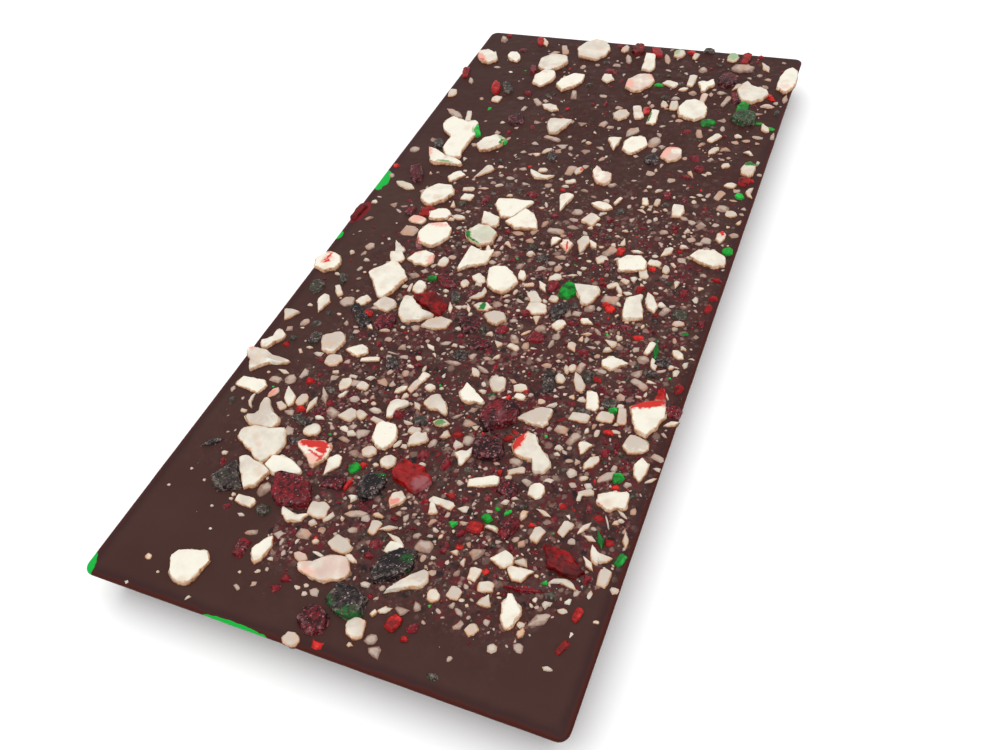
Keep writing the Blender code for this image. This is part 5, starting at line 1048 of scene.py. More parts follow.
        ("block", 17.2, -47.7, 3.1, 2.7, 0), ("bar", 19.8, -54.1, 3.7, 1.9, 75),
        ("block", -30.6, 20.6, 5.6, 2.8, -58), ("bar", 16.3, 2.9, 3.1, 1.1, -70),
        ("round", 23.5, 67.8, 5.6, 4.4, 90), ("leaf", -21.0, 64.5, 4.6, 1.6, -68),
        ("block", -17.2, 43.6, 4.0, 3.4, -45), ("block", 25.3, 34.9, 2.0, 1.7, 0),
        ("bar", -12.9, 15.6, 2.8, 1.4, 90), ("block", 1.6, -21.7, 3.5, 2.4, 20),
        ("bar", 8.7, -4.8, 2.7, 1.6, 90), ("leaf", -20.2, -0.1, 3.4, 1.5, -60),
        ("bar", 26.6, 61.3, 4.0, 1.6, -60), ("bar", -26.3, 8.9, 2.7, 1.8, 80),
        ("sliver", 25.0, -62.4, 5.8, 0.9, 10),
    ),
    "green": (
        ("block", 4.0, -72.9, 2.4, 1.7, 20), ("leaf", -7.0, -51.4, 2.3, 2.0, 90),
        ("leaf", 31.9, -41.2, 2.1, 1.6, 80), ("sliver", 32.6, -51.8, 3.1, 0.9, -62),
        ("bar", 36.2, -54.1, 2.1, 1.1, 75), ("leaf", 16.1, -53.4, 1.6, 1.3, 0),
        ("round", -13.5, -8.3, 1.8, 1.5, 0), ("slab", 11.8, -5.2, 4.3, 3.3, 80),
        ("sliver", 30.4, -15.0, 3.9, 1.0, -80), ("leaf", 27.4, -29.2, 1.6, 1.2, 60),
        ("round", 36.0, 12.0, 2.2, 1.9, 90), ("leaf", 34.6, 28.1, 1.8, 1.6, 0),
        ("round", 23.1, 51.0, 3.2, 2.7, 0), ("block", 28.9, 57.6, 4.8, 2.4, 90),
        ("bar", -24.2, 38.0, 4.8, 1.5, -62),
    ),
    "darkGreen": (
        ("coal", -25.1, -58.8, 5.7, 5.6, 0), ("slab", 2.8, -71.8, 6.2, 4.9, 0),
        ("slab", 6.5, -64.8, 7.4, 4.4, 60), ("leaf", -16.8, -62.4, 2.5, 1.8, 0),
        ("leaf", -20.0, -45.2, 4.4, 1.5, -10), ("sliver", -32.0, -53.6, 4.2, 1.3, 38),
        ("slab", -2.9, -53.8, 5.2, 4.1, 80), ("bar", -1.1, -39.7, 2.4, 1.6, 0),
        ("slab", -33.9, -15.9, 3.5, 2.9, -60), ("bar", -22.0, -20.9, 6.3, 2.2, -42),
        ("block", -27.4, -28.1, 2.8, 2.1, 90), ("leaf", -7.2, -11.9, 3.6, 2.2, -50),
        ("round", -0.6, -24.8, 2.7, 2.4, 0), ("slab", 11.9, -10.4, 4.8, 2.8, 80),
        ("bar", 15.7, -26.4, 4.8, 2.1, -75), ("block", 26.5, -28.0, 2.2, 1.8, 0),
        ("block", 32.1, -17.3, 2.6, 2.0, 0), ("block", 4.4, 1.9, 2.2, 1.9, 0),
        ("leaf", -4.8, 32.6, 3.6, 2.0, -58), ("round", 15.3, 35.8, 3.6, 3.2, 90),
        ("slab", 29.9, 54.0, 5.4, 5.0, 0), ("block", -24.1, 55.7, 4.2, 2.0, -62),
        ("block", 31.9, -5.9, 2.3, 2.0, 0), ("leaf", -30.6, 31.9, 4.2, 2.4, -55),
        ("bar", -11.2, -29.7, 2.7, 2.1, -60), ("block", 16.6, 79.7, 2.4, 1.6, 0),
    ),
}

# colour on single pieces: place across and along, length, breadth, turn, and how strong it is
redPatches = (
    (-15.2, -49.2, 5.6, 1.5, 8, 1.0), (-13.4, -50.0, 1.8, 1.1, 0, 1.0),
    (-14.1, -51.0, 3.0, 0.4, -20, 0.9), (-14.0, -51.8, 3.0, 2.4, 0, 0.30),
    (-12.9, -51.6, 2.2, 0.5, 75, 0.8), (15.5, -39.3, 4.8, 1.6, 85, 1.0),
    (32.2, -26.8, 5.4, 1.7, 24, 1.0), (34.5, -25.6, 1.4, 1.0, 30, 1.0),
    (8.4, -32.2, 2.2, 0.6, -60, 0.7), (10.9, -35.3, 1.2, 2.0, 20, 0.6),
    (-9.2, -13.6, 2.4, 1.2, -30, 0.25), (-35.2, -9.5, 1.3, 0.7, 40, 1.0),
    (-35.5, -8.3, 2.2, 0.5, 80, 0.85), (-35.6, -9.0, 2.8, 1.6, 75, 0.40),
    (-35.8, -7.1, 1.6, 0.8, 30, 0.45), (-23.9, 6.9, 2.6, 2.0, 0, 0.40),
    (-19.4, 7.3, 3.6, 0.8, 20, 0.95), (-19.2, 6.0, 4.6, 1.4, 0, 0.35),
    (-20.3, -0.2, 3.4, 1.0, -60, 0.8), (-19.4, -2.2, 2.4, 1.4, 30, 0.35),
    (-15.8, -3.8, 1.6, 2.2, 0, 0.40), (7.6, 6.3, 3.2, 0.4, 105, 0.8), (7.2, 5.5, 2.4, 2.2, 0, 0.30),
    (-31.2, 28.2, 3.4, 1.6, -60, 0.45), (-27.5, 24.7, 3.2, 0.6, 0, 0.6),
    (33.9, 16.9, 1.8, 1.2, 95, 1.0), (17.4, 38.6, 2.2, 3.8, 0, 0.40), (19.0, 40.6, 3.0, 1.2, 0, 0.35),
    (2.9, 61.9, 2.2, 4.2, 5, 0.40), (7.2, 66.0, 1.4, 2.2, 20, 0.40),
    (-35.2, 67.0, 4.4, 1.6, -48, 0.50), (-34.6, 65.7, 2.6, 1.2, -20, 0.75),
    (30.7, -46.8, 1.4, 1.0, -40, 0.8), (6.6, 26.3, 3.4, 1.0, -30, 0.35),
    (2.7, 29.6, 0.9, 1.8, 10, 0.75), (1.6, -55.3, 2.4, 1.2, 30, 0.6),
    (-28.0, -41.6, 1.6, 1.0, 70, 0.6), (-4.8, -69.6, 3.0, 1.4, 10, 0.28),
    (-23.9, -52.0, 1.2, 0.9, 0, 0.18), (4.9, -51.2, 2.8, 2.6, 0, 0.75),
    (-37.2, -33.4, 1.6, 1.0, -30, 0.45), (8.9, 52.8, 1.0, 2.4, 0, 0.5),
    (35.9, 67.0, 2.6, 2.0, 0, 0.20), (-8.2, 75.4, 2.4, 1.8, 0, 0.15),
)
greenPatches = (
    (-1.5, -13.0, 1.0, 2.6, 8, 1.0), (-12.0, 4.4, 1.4, 2.2, 10, 1.0), (-10.4, 3.3, 4.0, 0.5, -28, 0.9),
    (-11.3, 3.0, 2.6, 1.6, 0, 0.4), (-8.8, 5.6, 4.6, 3.8, 0, 0.16), (-16.7, 34.8, 1.4, 2.2, 0, 1.0),
    (-17.4, 36.4, 2.2, 1.2, 0, 0.4), (34.3, 38.6, 2.8, 1.6, 0, 1.0), (10.5, 50.6, 5.0, 0.9, 95, 0.95),
    (22.5, 78.2, 2.2, 3.2, 0, 0.38), (9.5, 77.5, 1.4, 2.8, 0, 0.35), (2.0, -39.3, 1.6, 1.8, 10, 0.7),
    (-24.6, 37.4, 0.8, 2.6, 25, 0.35), (17.5, -54.2, 2.4, 0.8, 0, 0.6),
    (-26.2, 25.4, 3.0, 0.7, 0, 0.6),
)
# on white candy only: duller, as where it is sunk or stained
dullPatches = (
    (-24.2, -27.6, 4.4, 5.2, 0, 0.35), (16.0, -33.3, 5.0, 4.4, 0, 0.35),
    (-35.2, -35.0, 5.0, 5.0, 0, 0.25), (-31.0, -34.4, 3.6, 1.8, 0, 0.6),
    (32.5, -34.0, 3.8, 3.8, 0, 0.30), (-27.6, -45.8, 4.6, 5.6, 0, 0.25),
    (-22.0, -31.7, 3.0, 2.8, 0, 0.30), (-8.8, -18.6, 5.0, 2.6, 30, 0.45),
    (1.8, -14.6, 4.0, 3.6, 0, 0.55), (11.0, -64.5, 2.6, 2.2, 30, 0.6),
)
# on dark and clear candy only: painted light there, a glow on dark candy and a deeper shade on clear
# candy
glowPatches = (
    (9.3, -33.0, 5.0, 2.4, -55, 1.0), (12.3, -36.2, 4.6, 2.2, 60, 0.6),
    (8.5, -35.4, 4.0, 2.0, -60, 0.6), (-9.2, -13.3, 3.6, 2.2, -30, 0.8),
    (-17.2, -21.0, 4.0, 3.0, 0, 0.30), (28.6, -58.2, 5.0, 1.6, -15, 0.6),
    (4.2, -73.4, 3.6, 1.6, 20, 1.0), (0.4, -72.2, 3.6, 1.0, -50, 0.7), (8.3, -63.3, 1.6, 1.2, 0, 0.7),
    (9.5, -65.1, 1.4, 1.0, 0, 0.6), (-2.2, -51.3, 1.6, 1.4, 0, 0.9), (29.6, 56.0, 3.2, 2.0, 0, 0.8),
    (35.9, -53.6, 3.0, 1.6, 80, 0.75), (32.4, -51.5, 3.4, 1.6, -60, 0.85),
    (30.2, -14.8, 4.0, 1.4, -75, 0.85), (-13.8, -8.4, 1.8, 1.4, 0, 0.6),
    (27.4, -29.6, 1.6, 1.2, 0, 0.6), (31.8, -41.4, 2.0, 1.2, 0, 0.6), (33.8, -9.9, 1.2, 0.8, 0, 0.7),
    (-7.7, -51.5, 1.6, 1.0, 0, 0.5), (30.6, -58.0, 3.4, 2.6, 0, 0.75), (10.2, -72.9, 2.0, 1.6, 0, 0.5),
    (33.0, -64.8, 1.4, 1.6, 0, 0.5), (32.7, -68.6, 1.4, 1.6, 0, 0.5), (29.2, 57.4, 3.6, 2.0, 80, 0.6),
    (22.8, 50.6, 2.2, 1.6, 0, 0.5), (-15.6, -59.2, 5.0, 1.4, 0, 0.25),
    (-36.8, 6.2, 6.4, 3.4, 85, 0.65), (29.9, 53.6, 5.4, 4.4, 0, 0.55), (23.3, 69.0, 3.4, 2.6, 0, 0.6),
)

# smaller pieces between them: place across and along, length, breadth and turn
crumbRows = {
    "white": (
        (-29.1, -74.7, 1.1, 1, 0), (0.1, -65.6, 2.4, 1.1, -20), (-6.4, -60.4, 2.2, 1, 60),
        (-4.9, -66.4, 2.8, .7, -5), (8.4, -71.2, 2, .9, 35), (0.5, -57.9, 2, .9, 0),
        (-8.3, -62, 1.4, 1.2, 0), (-6.2, -64.7, 1.2, 1, 0), (4.1, -68.6, 1.4, 1.1, 0),
        (23.4, -58.6, 2, 1.1, 0), (36.8, -58.7, 1.3, 1.1, 0), (33.9, -60.5, 1.4, .8, 90),
        (31.2, -63.8, 1.5, 1.1, 0), (28.8, -63.5, 1.5, 1.2, 0), (33.4, -66.5, 1.1, .5, 90),
        (35.9, -63.8, .9, .6, 0), (26.7, -67.3, 1.1, .9, 0), (27.1, -68.4, 1.5, 1, 80),
        (24.4, -71.6, 1.4, 1.3, 0), (32.1, -71.8, 1.3, .8, 0), (17.8, -66.6, 1, .8, 0),
        (18.8, -67, .7, .6, 0), (14, -60, 1.2, 1, 0), (-25, -64.1, .6, .5, 0),
        (-19.6, -64.1, 1.3, .6, 0), (-22.9, -61.3, .8, .7, 0), (-22.8, -62.1, .8, .6, 0),
        (-19.3, -78.5, 1, .5, 60), (6.2, -77.2, .9, .8, 0), (-3.9, -71.4, 1, .8, 0),
        (-3.5, -72.6, 1, .8, 0), (-5, -72, 1.2, .6, 0), (-32.3, -59.1, .6, .5, 0),
        (-29, -60.4, .6, .5, 0), (-34, -62.9, .6, .5, 0), (-22.8, -67.7, .6, .5, 0),
        (-14.4, -72.6, .6, .5, 0), (-26.1, -76.4, .6, .5, 0), (-29.6, -79.3, .6, .5, 0),
        (-31.3, -37.5, .8, .7, 0), (-30.7, -46.3, 1.5, .9, 0), (-17.5, -43.9, 1.5, 1, 0),
        (-16.3, -34.3, 1.7, .9, 0), (-16, -38.4, 2, .8, 65), (-28.8, -54.8, 1.4, 1, 0),
        (-5.8, -35.7, 1.6, 1.2, 90), (-2.9, -40.7, 1.6, .8, 0), (-2.6, -45, 2, 1, 70),
        (-1.4, -45.1, 1.2, .9, 0), (-4.1, -49.7, 1, .8, 0), (2.9, -47.5, 1.4, .9, 0),
        (6.7, -42.4, 1.8, 1.5, 0), (8, -38.4, 1.1, .9, 0), (4, -41.2, 1.8, 1.5, 0),
        (-10.8, -45.2, 1.6, 1.4, 0), (-12.4, -44.7, 1.8, 1.2, 0), (-9.2, -39.9, 2, 1.2, 0),
        (-10.2, -38.6, 1.1, .9, 0), (-11.8, -38.6, 1.2, 1, 0), (-4.5, -56.2, 1.6, 1.4, 0),
        (12.3, -53, 1.6, 1.2, 0), (16.4, -45.8, 1.3, 1.1, 0), (28.3, -43.8, 1.4, 1.2, 0),
        (27.6, -46, 1.8, .9, 90), (22.4, -44.6, 1.7, 1.1, 0), (25.2, -42.3, 1.9, 1.4, 90),
        (21.7, -38.4, 1.4, 1.2, 0), (21.9, -39.6, 1.2, .7, 0), (33.9, -48.6, 1.1, .9, 0),
        (34.4, -48, 1.1, .9, 0), (32.7, -48.8, 3, .35, -60), (34.3, -46.9, 2, .5, -30),
        (36.5, -40.2, 2, .6, 40), (36.9, -37.9, 1, .7, 0), (29, -33, 1.6, .9, 0),
        (26.4, -34, 1.6, .9, 90), (21, -51.3, 1.8, 1.2, 90), (17.5, -54.7, 2.4, 1, -10),
        (-26.9, -10, .9, .6, 0), (-16.5, -11.6, 2.4, .8, 100), (-17.6, -11.6, 1.2, 1, 0),
        (-32.7, -20.7, 1.2, .8, 0), (-24.8, -31.3, 1.9, .9, 0), (-27.2, -30.3, 1.4, .6, 0),
        (-13.3, -21.4, 1.1, .9, 0), (-31.8, -11.8, 1.4, .8, 0), (-30.2, -12.6, .8, .7, 0),
        (-26.2, -21.4, 1, .6, 0), (-4.6, -7.6, 1.5, 1, 0), (2.3, -11.4, .8, .7, 0),
        (4.9, -12.1, 1, .8, 0), (-9.7, -10.8, 1.2, 1, 0), (-9.2, -12, .8, .7, 0),
        (-5.6, -14.1, 1.4, 1.1, 0), (-4.6, -13.7, 1.2, 1, 0), (-3.5, -19, 1.2, 1, 0),
        (2.3, -18.8, 1.4, 1.2, 0), (8.2, -16.8, 2, .7, 45), (6.4, -15.6, .6, .5, 0),
        (10.7, -19.9, 1.4, .4, 0), (5.5, -23.5, 1.9, .9, 55), (9.6, -22.2, .7, .6, 0),
        (11.3, -22.1, .5, .4, 0), (12.5, -23.6, .5, .4, 0), (10.3, -30, .9, .7, 0),
        (10.3, -31.6, 1.6, 1.2, 0), (5.7, -29.7, 1.4, .9, -40), (6.2, -31.2, 1.5, 1, 0),
        (-1.4, -29.9, 1.2, .6, -70), (-5.3, -29.3, 1.4, .7, 90), (-7.9, -29.4, 1.3, .7, 0),
        (-1.2, -22.9, 1.2, .5, 0), (-2.5, -22.9, 1.2, 1, 0), (-5, -25.8, 1.2, .6, -45),
        (-6.4, -24.4, 2, .8, -30), (26.7, -10.2, 1.3, .7, 85), (32.2, -7.9, 1.9, 1.4, 0),
        (34.4, -13.3, 1.5, .8, -35), (36.3, -15.2, 1, .4, 0), (33.5, -17.9, 1.3, 1.1, 0),
        (34.6, -18.8, 1.5, .9, 80), (34.4, -17.7, 1.2, .3, 0), (23.8, -13.8, 1.4, 1.2, 0),
        (22.7, -16.9, 1.6, 1.4, 0), (17.7, -15.7, 1.4, .8, 90), (15.7, -21.5, .8, .7, 0),
        (17.6, -22.9, 2.2, 1, -65), (31.3, -21.8, 1.6, .7, 0), (31.3, -24.6, 1.3, .8, 90),
        (30.4, -25.3, 1.1, .6, 0), (34.6, -24, 1.6, .4, -65), (22, -28.3, 1.5, 1.3, 0),
        (20.4, -28.2, 1.2, 1, 0), (19.1, -28, .8, .7, 0), (17.2, -27.7, 1, .8, 0),
        (17.8, -28.8, .8, .7, 0), (16.1, -30.5, 1.4, 1.3, 0), (17.9, -30.8, 2.2, .8, 30),
        (28.3, -28, 1.5, 1.2, 0), (28.7, -31.6, .9, .7, 0), (-35.1, 10, 1.4, 1.2, 0),
        (-34.9, 11.7, 1.1, .4, 0), (-14.5, 8.1, .5, .4, 0), (-17.2, 8.5, 1.4, 1.2, 0),
        (-13.6, 1, .9, .7, 0), (-4.2, 2.9, 1.5, .8, 90), (10.9, 17, 1.9, .9, 50),
        (10.1, 12.4, 1.2, 1, 0), (11.2, 13.8, 1.2, .8, 0), (1.7, 2.6, 1.7, 1.5, 0),
        (9.2, 1.5, 1, .8, 0), (12.8, 3.4, 1, .8, 0), (10.9, 3.8, .6, .5, 0), (12.4, 1.3, 1.2, 1, 0),
        (-.5, 17.2, 1.7, .7, -65), (-1.1, 16.1, 1.1, .7, 0), (5.8, 5.8, .8, .7, 0),
        (27.7, 15.8, 1.7, 1, 70), (27.5, 14.3, .8, .7, 0), (28.5, 15.6, .6, .5, 0),
        (16.7, 13.1, 1.4, .9, 0), (13.8, 12.7, 1, .8, 0), (20.6, 7.9, 2.4, .9, 0),
        (23.9, 7.6, 1.2, .9, 0), (27.7, 6.1, 1.9, .8, -50), (33.6, 1.3, 1.2, 1, 0),
        (17.6, 5.2, 1.6, .8, 30), (22, .8, 1.6, 1.2, 80), (23, 1, .8, .7, 0), (24, .5, .8, .7, 0),
        (22, -3, 1.6, .9, 0), (20.3, -2.6, 3, 1, -60), (20.7, -3.8, 1, .8, 0), (21.2, -6, 1.4, 1, -45),
        (28.3, -4.4, 1.6, 1.3, 0), (27, -.2, .8, .7, 0), (13.7, 7.7, 1, .8, 0),
        (4.5, -3.6, 1.1, .5, 0), (-32.1, -5.4, 1.3, 1.1, 0), (-28.2, -6.8, 1.6, 1, 0),
        (-21, 24, .9, .7, 0), (-19.2, 24.4, 1.2, .6, 0), (-19.6, 22, .8, .7, 0),
        (-14.1, 27, 1.2, 1, 0), (-18, 28.2, .6, .5, 0), (-22.8, 28, 1.6, .8, -60),
        (-19.9, 42.3, 1.5, 1.2, 0), (-.4, 25.7, 1, .9, 0), (1.2, 23.7, 1.6, .9, 0),
        (-5.7, 30, .7, .6, 0), (-8.3, 32.7, 1.5, 1.3, 0), (10.5, 21, 1.6, 1, 0),
        (33.5, 42.2, 2.2, 1, -25), (35.7, 39.2, 2, .7, 80), (27.3, 34, 1.2, 1, 0),
        (26.7, 33.4, 1.2, .7, 0), (19.4, 26.4, 1.6, .9, 25), (17.3, 27.2, 1.2, .8, 0),
        (21.2, 26.9, .9, .7, 0), (27.3, 26.9, 1.2, .7, 0), (26.2, 26, 1.2, .6, 0),
        (28.4, 25.7, 1, .8, 0), (19.2, 20.4, .9, .7, 0), (17.8, 20.8, 1, .8, 0),
        (18, 19.7, 2, .7, -25), (34.5, 18.8, 1, .7, 0),
    ),
    "pink": (
        (-28.4, -31.5, 1.5, .7, -50), (-16, -23, 2.2, .8, 15), (2.7, -7.7, 1.6, .9, 80),
        (1.5, -9.2, 1.5, .6, 40), (-11, -12, 2, .6, 0), (32.3, -19.2, 1.6, .6, 30),
        (-15.2, 3.5, 1.2, .5, 0), (26.6, -1.8, 1, .6, 0), (28.2, 11.3, 1.8, 1.2, 0),
        (24, 33, 2.4, 1, -60), (20.6, 20, 1.2, .8, 0), (26.7, -25, .8, .7, 0),
        (33.5, 59.5, 2.5, 1.5, 0), (11, -36.5, 1.4, 1, 0),
    ),
    "filmed": (
        (-16.4, -66.3, 1.8, 1, 20), (-6.3, -62.7, 1.6, 1.4, 0), (10.6, -70.6, 1.8, 1.2, 0),
        (9.9, -77, 1.8, 1.5, 0), (-2.2, -72, 1.8, 1.5, 0), (-1, -58.8, 1.4, 1.2, 0),
        (-24.9, -36, 2.2, 1.5, 90), (-22.9, -44.3, 1.8, 1.2, 0), (-15.3, -35.5, 1.8, 1.6, 0),
        (-19.5, -35.4, 1.8, 1.3, 0), (-10.9, -33.9, 2, 1.6, 0), (7.9, -41.2, 2.4, 1.8, -55),
        (6.5, -37.9, 1.9, 1.5, 0), (2.7, -43.3, 1.8, 1.2, 80), (-9.2, -44.8, 2.2, 1.8, 0),
        (-11.2, -46.7, 2.4, 1, -15), (9.8, -48.9, 1.4, 1.2, 0), (33.5, -41.8, 1.2, 1, 0),
        (16.4, -42.7, 2.2, 1.4, 0), (4.2, -37.2, 2, .6, 45), (-17.2, -8.3, 2, 1.5, 0),
        (-21, -24.5, 1.2, 1, 0), (-14.5, -24.7, 1.4, 1.2, 0), (-20.5, -18.2, 1.6, .8, 0),
        (-11, -20.8, 1.8, 1.6, 0), (2.1, -10.3, 1.2, 1, 0), (5.5, -8.8, 1.2, .8, 0),
        (4, -24.2, 1.6, .9, 0), (7.3, -25.7, .8, .7, 0), (-12.3, -27.5, 2, .4, 0),
        (-12.5, -28.5, 1.2, 1, 0), (15, -10, 1.8, 1.2, 0), (13.5, -10.5, 2, 1, 90),
        (13.5, -16.3, 1.8, 1.5, 0), (13.2, -18, 2.5, .8, 90), (18.6, -15.6, 1.6, .8, 90),
        (20.6, -15.7, 1, .8, 0), (20, -17, 1.6, .6, 0), (25.5, -20.8, 1.8, 1, 0),
        (23.3, -21.7, 1.6, 1, 0), (-26.7, 15.6, 1.6, 1, 20), (-28.3, 10, 1.8, .7, 20),
        (-27, 10.8, .7, .6, 0), (-28.8, 8.5, 1.8, .7, -30), (-33.8, 4.8, 1.8, 1, 40),
        (-17.2, 11.6, 1.6, .8, 0), (-5.6, 5.4, 1.8, .8, 90), (-2.8, 7.8, 2.2, 1.1, 0),
        (0, 8.8, 1.6, 1.2, 50), (1.3, 11.7, 2.2, 1.2, 80), (6.7, 11.9, 2.4, 1.2, 0),
        (7.6, 3.2, 2, 1.2, 0), (6.3, 1.2, 1.6, 1.1, 0), (23.5, 14.6, 1.6, 1.4, 0),
        (30.6, 12.9, 1.6, 1, 0), (32.2, 11.9, 1.6, .9, 0), (29.9, 8.8, 1.2, .9, 0),
        (28.8, 7.8, 1.6, 1.4, 0), (27, 2.9, 1.6, 1.2, 0), (33.3, 4.8, 1.4, 1, 0),
        (19.4, .6, 1.2, 1, 0), (-4.5, -1.3, 1.5, 1.2, 0), (-9, -6, 1.2, 1, 0),
        (-22.8, 33.3, 2, 1.2, 0), (-32.5, 33, 1.5, 1.3, 0), (-14.9, 22.8, 1.6, 1, 0),
        (-12.9, 24.2, 1.2, 1, 0), (-7, 22.6, 1.6, .8, 0), (-2.1, 36.4, 1.5, .9, -60),
        (-4, 36.7, 2, 1.4, 0), (1.2, 36, 2, 1.6, 0), (-9.2, 27.3, 1.6, 1, 0), (6.2, 25.4, .8, .7, 0),
        (11.8, 36.6, 1.2, 1, 0), (16.2, 40.8, 1.6, 1.4, 0), (16.4, 31.4, 2.2, 1.8, 0),
        (17.7, 34.5, 2, .6, 90), (29.9, 40, 1, .8, 0), (28, 41, .8, .7, 0), (33.8, 29.7, 1.4, 1.2, 0),
        (33.7, 26.7, 1.4, .6, 0), (20.8, 30.3, 1.8, 1.5, 0), (13.9, 28.5, 1.4, .7, 0),
        (36.1, 24.7, 1, .8, 0), (36.1, 23, 1, .8, 0), (36.8, 35.7, 1, .9, 0),
        (32.3, 18.8, 1.6, 1.2, 0), (-30, 64, 1.8, .8, 0), (-19.5, 52.5, 1.6, 1.2, 0),
        (-2.5, 70, 2, 1.5, 0), (-1.5, 56.8, 2, 1.2, 0), (3.7, 45.5, 1.6, 1, 0),
        (17, 50.8, 1.5, 1.3, 0), (36.7, 49, 2.4, .9, 90), (34, 48, 2.2, 1, 0), (34.3, 46, 1, .8, 0),
        (30.1, 45.5, 1.4, 1.2, 0), (23.2, 63, 2, 1.2, 0), (21.5, 64, 1, .8, 0),
        (31.8, 70, 1.6, 1.2, 0), (31.8, 67, 1.8, 1.4, -50), (36.7, 63, 3, 1, 90),
        (32, 56.5, 2.5, .8, 0),
    ),
    "red": (
        (12.8, -74.1, 1.2, 1, 0), (14.2, -59, 1.3, .9, 0), (19.2, -61.5, 1.2, 1, 0),
        (2, -78.7, 1.8, 1.2, 0), (-6.5, -64.1, .6, .5, 0), (19.5, -64.5, .6, .5, 0),
        (-23, -37.3, 1.8, 1.6, 0), (-21.5, -43.2, 1.8, 1.6, 0), (-5.8, -50.3, 1.6, 1.2, 0),
        (9.6, -51.4, 1.6, 1.2, 0), (5.9, -40.5, 1.8, 1.2, 0), (6.3, -53.4, 1, .8, 0),
        (28, -33.4, 1.8, 1, 0), (32.1, -42.9, 1.3, 1, 0), (34, -51.9, 1.4, 1.2, 0),
        (22.7, -52.5, 1, .8, 0), (25.9, -48.2, 1.6, 1.3, 0), (27.8, -48.3, 1.4, .6, 0),
        (31.5, -48.6, 1.6, 1.2, 0), (-31.7, -30.8, 1.5, 1.2, 0), (-12.3, -22.4, .9, .7, 0),
        (12.5, -29, 1.5, 1, 0), (22.9, -23.5, 2, 1.2, 0), (26.8, -12.9, 1.8, 1.2, 0),
        (36, 4.1, 1.8, 1, 0), (36.4, -.5, 1.6, 1.3, 0), (27.7, 10, 1.2, .8, 0), (16.5, -.5, 1, .8, 0),
        (19.2, -6.7, 1.6, 1.4, 0), (24.3, 4.2, 1.5, 1.2, 0), (1.1, 22.4, 1.2, 1, 0),
        (35.8, 33.5, 1.2, 1, 0), (-36.3, 22.5, 1.5, 1.3, 0), (-8.2, 28.4, 1, .8, 0),
        (-32.5, 78.5, 1.5, 1.3, 0), (13, 78.3, 2, 1.5, 0), (28.5, 79, 1.5, 1.3, 0),
        (33.7, 63, 2.8, 1.2, -60), (9.5, -32.2, 1.8, 1.2, 0), (26.2, -55.3, 1.8, 1.2, 0),
        (33.5, -23.2, 1.8, 1.2, 70),
    ),
    "darkRed": (
        (-5.2, -39.6, 1.8, 1.6, 0), (6.4, -46.4, 2.8, 1.6, 90), (6.4, -12.2, 2, 1.6, 0),
        (-4.8, -10.3, 2.4, 1.4, -40), (-2.5, -20.5, 1.6, 1.4, 0), (18.9, -18.5, 2, 1.6, 0),
        (17.2, -1.7, 1.8, 1.2, 0), (23.6, 32, 2.2, 1.5, 0), (18.2, 41.3, 1.4, 1, 0),
        (-4.3, 19.8, 2.5, 2, 0), (-4, 78.3, 2, 1.6, 0), (-3, 67, 3.5, 2.2, 0), (0, 54, 2.6, .9, 90),
        (-26.6, 72.5, 2.4, 1.6, 0), (31.3, -.6, 2.6, 1.6, 90), (23.8, -11, 2.6, 2, 30),
        (-22.7, -63.5, 1.5, 1.3, 0), (-8, -73.1, 1.6, 1.3, 0), (-7.3, -71.4, 1.8, 1.5, 0),
        (-18, -42.8, 2.4, 2, 0), (2.3, -45.8, 2.6, 1.8, 90),
    ),
    "darkGreen": (
        (29, -62.1, 2, 1.5, 0), (18.6, -77.6, 1.6, 1, 0), (-18.9, -49.3, 2, 1.6, 0),
        (-18.6, -38, 2.5, 1.5, 0), (10, -46.2, 1.4, 1, 0), (-30.2, -12.5, 3.4, 1.8, -70),
        (-31.3, -29, 1.5, 1.3, 0), (.8, -18.1, 2.4, 1.5, 90), (-4, -26.8, .9, .7, 0),
        (22.9, -30.6, 2.4, 1.4, 0), (28.4, -19.2, 1, .8, 0), (31, -20.1, 2.8, 1.7, 0),
        (21.5, -23.5, 2.8, 1.8, 90), (30.8, -9.7, .8, .7, 0), (4, -18.5, 2, 1.6, 0),
        (-17, 13.6, 2.2, 1.6, 0), (28, 1.1, 1.6, 1.3, 0), (26.8, 1.8, 1.5, 1.3, 0),
        (21.8, 22.5, 1.5, 1.3, 0), (24.5, 49.5, 1.5, 1.3, 0), (36, 57.6, 2.4, 1.1, 90),
        (11.7, 59, 1.5, 1.3, 0),
    ),
    "green": (
        (11.8, -55.7, 1.6, 1.2, 0), (33.8, -9.9, 1.1, .6, 0), (9.2, 63.4, 2.4, 1.3, 0),
        (33.2, 53, 2.5, .8, 0), (35.8, 51.6, 1.8, 1, 0), (4, -72.6, 1.6, 1.2, 0),
        (-2.2, -51.3, 1.4, 1.2, 0), (-16.7, 35, 1.8, 1.4, 60),
    ),
}

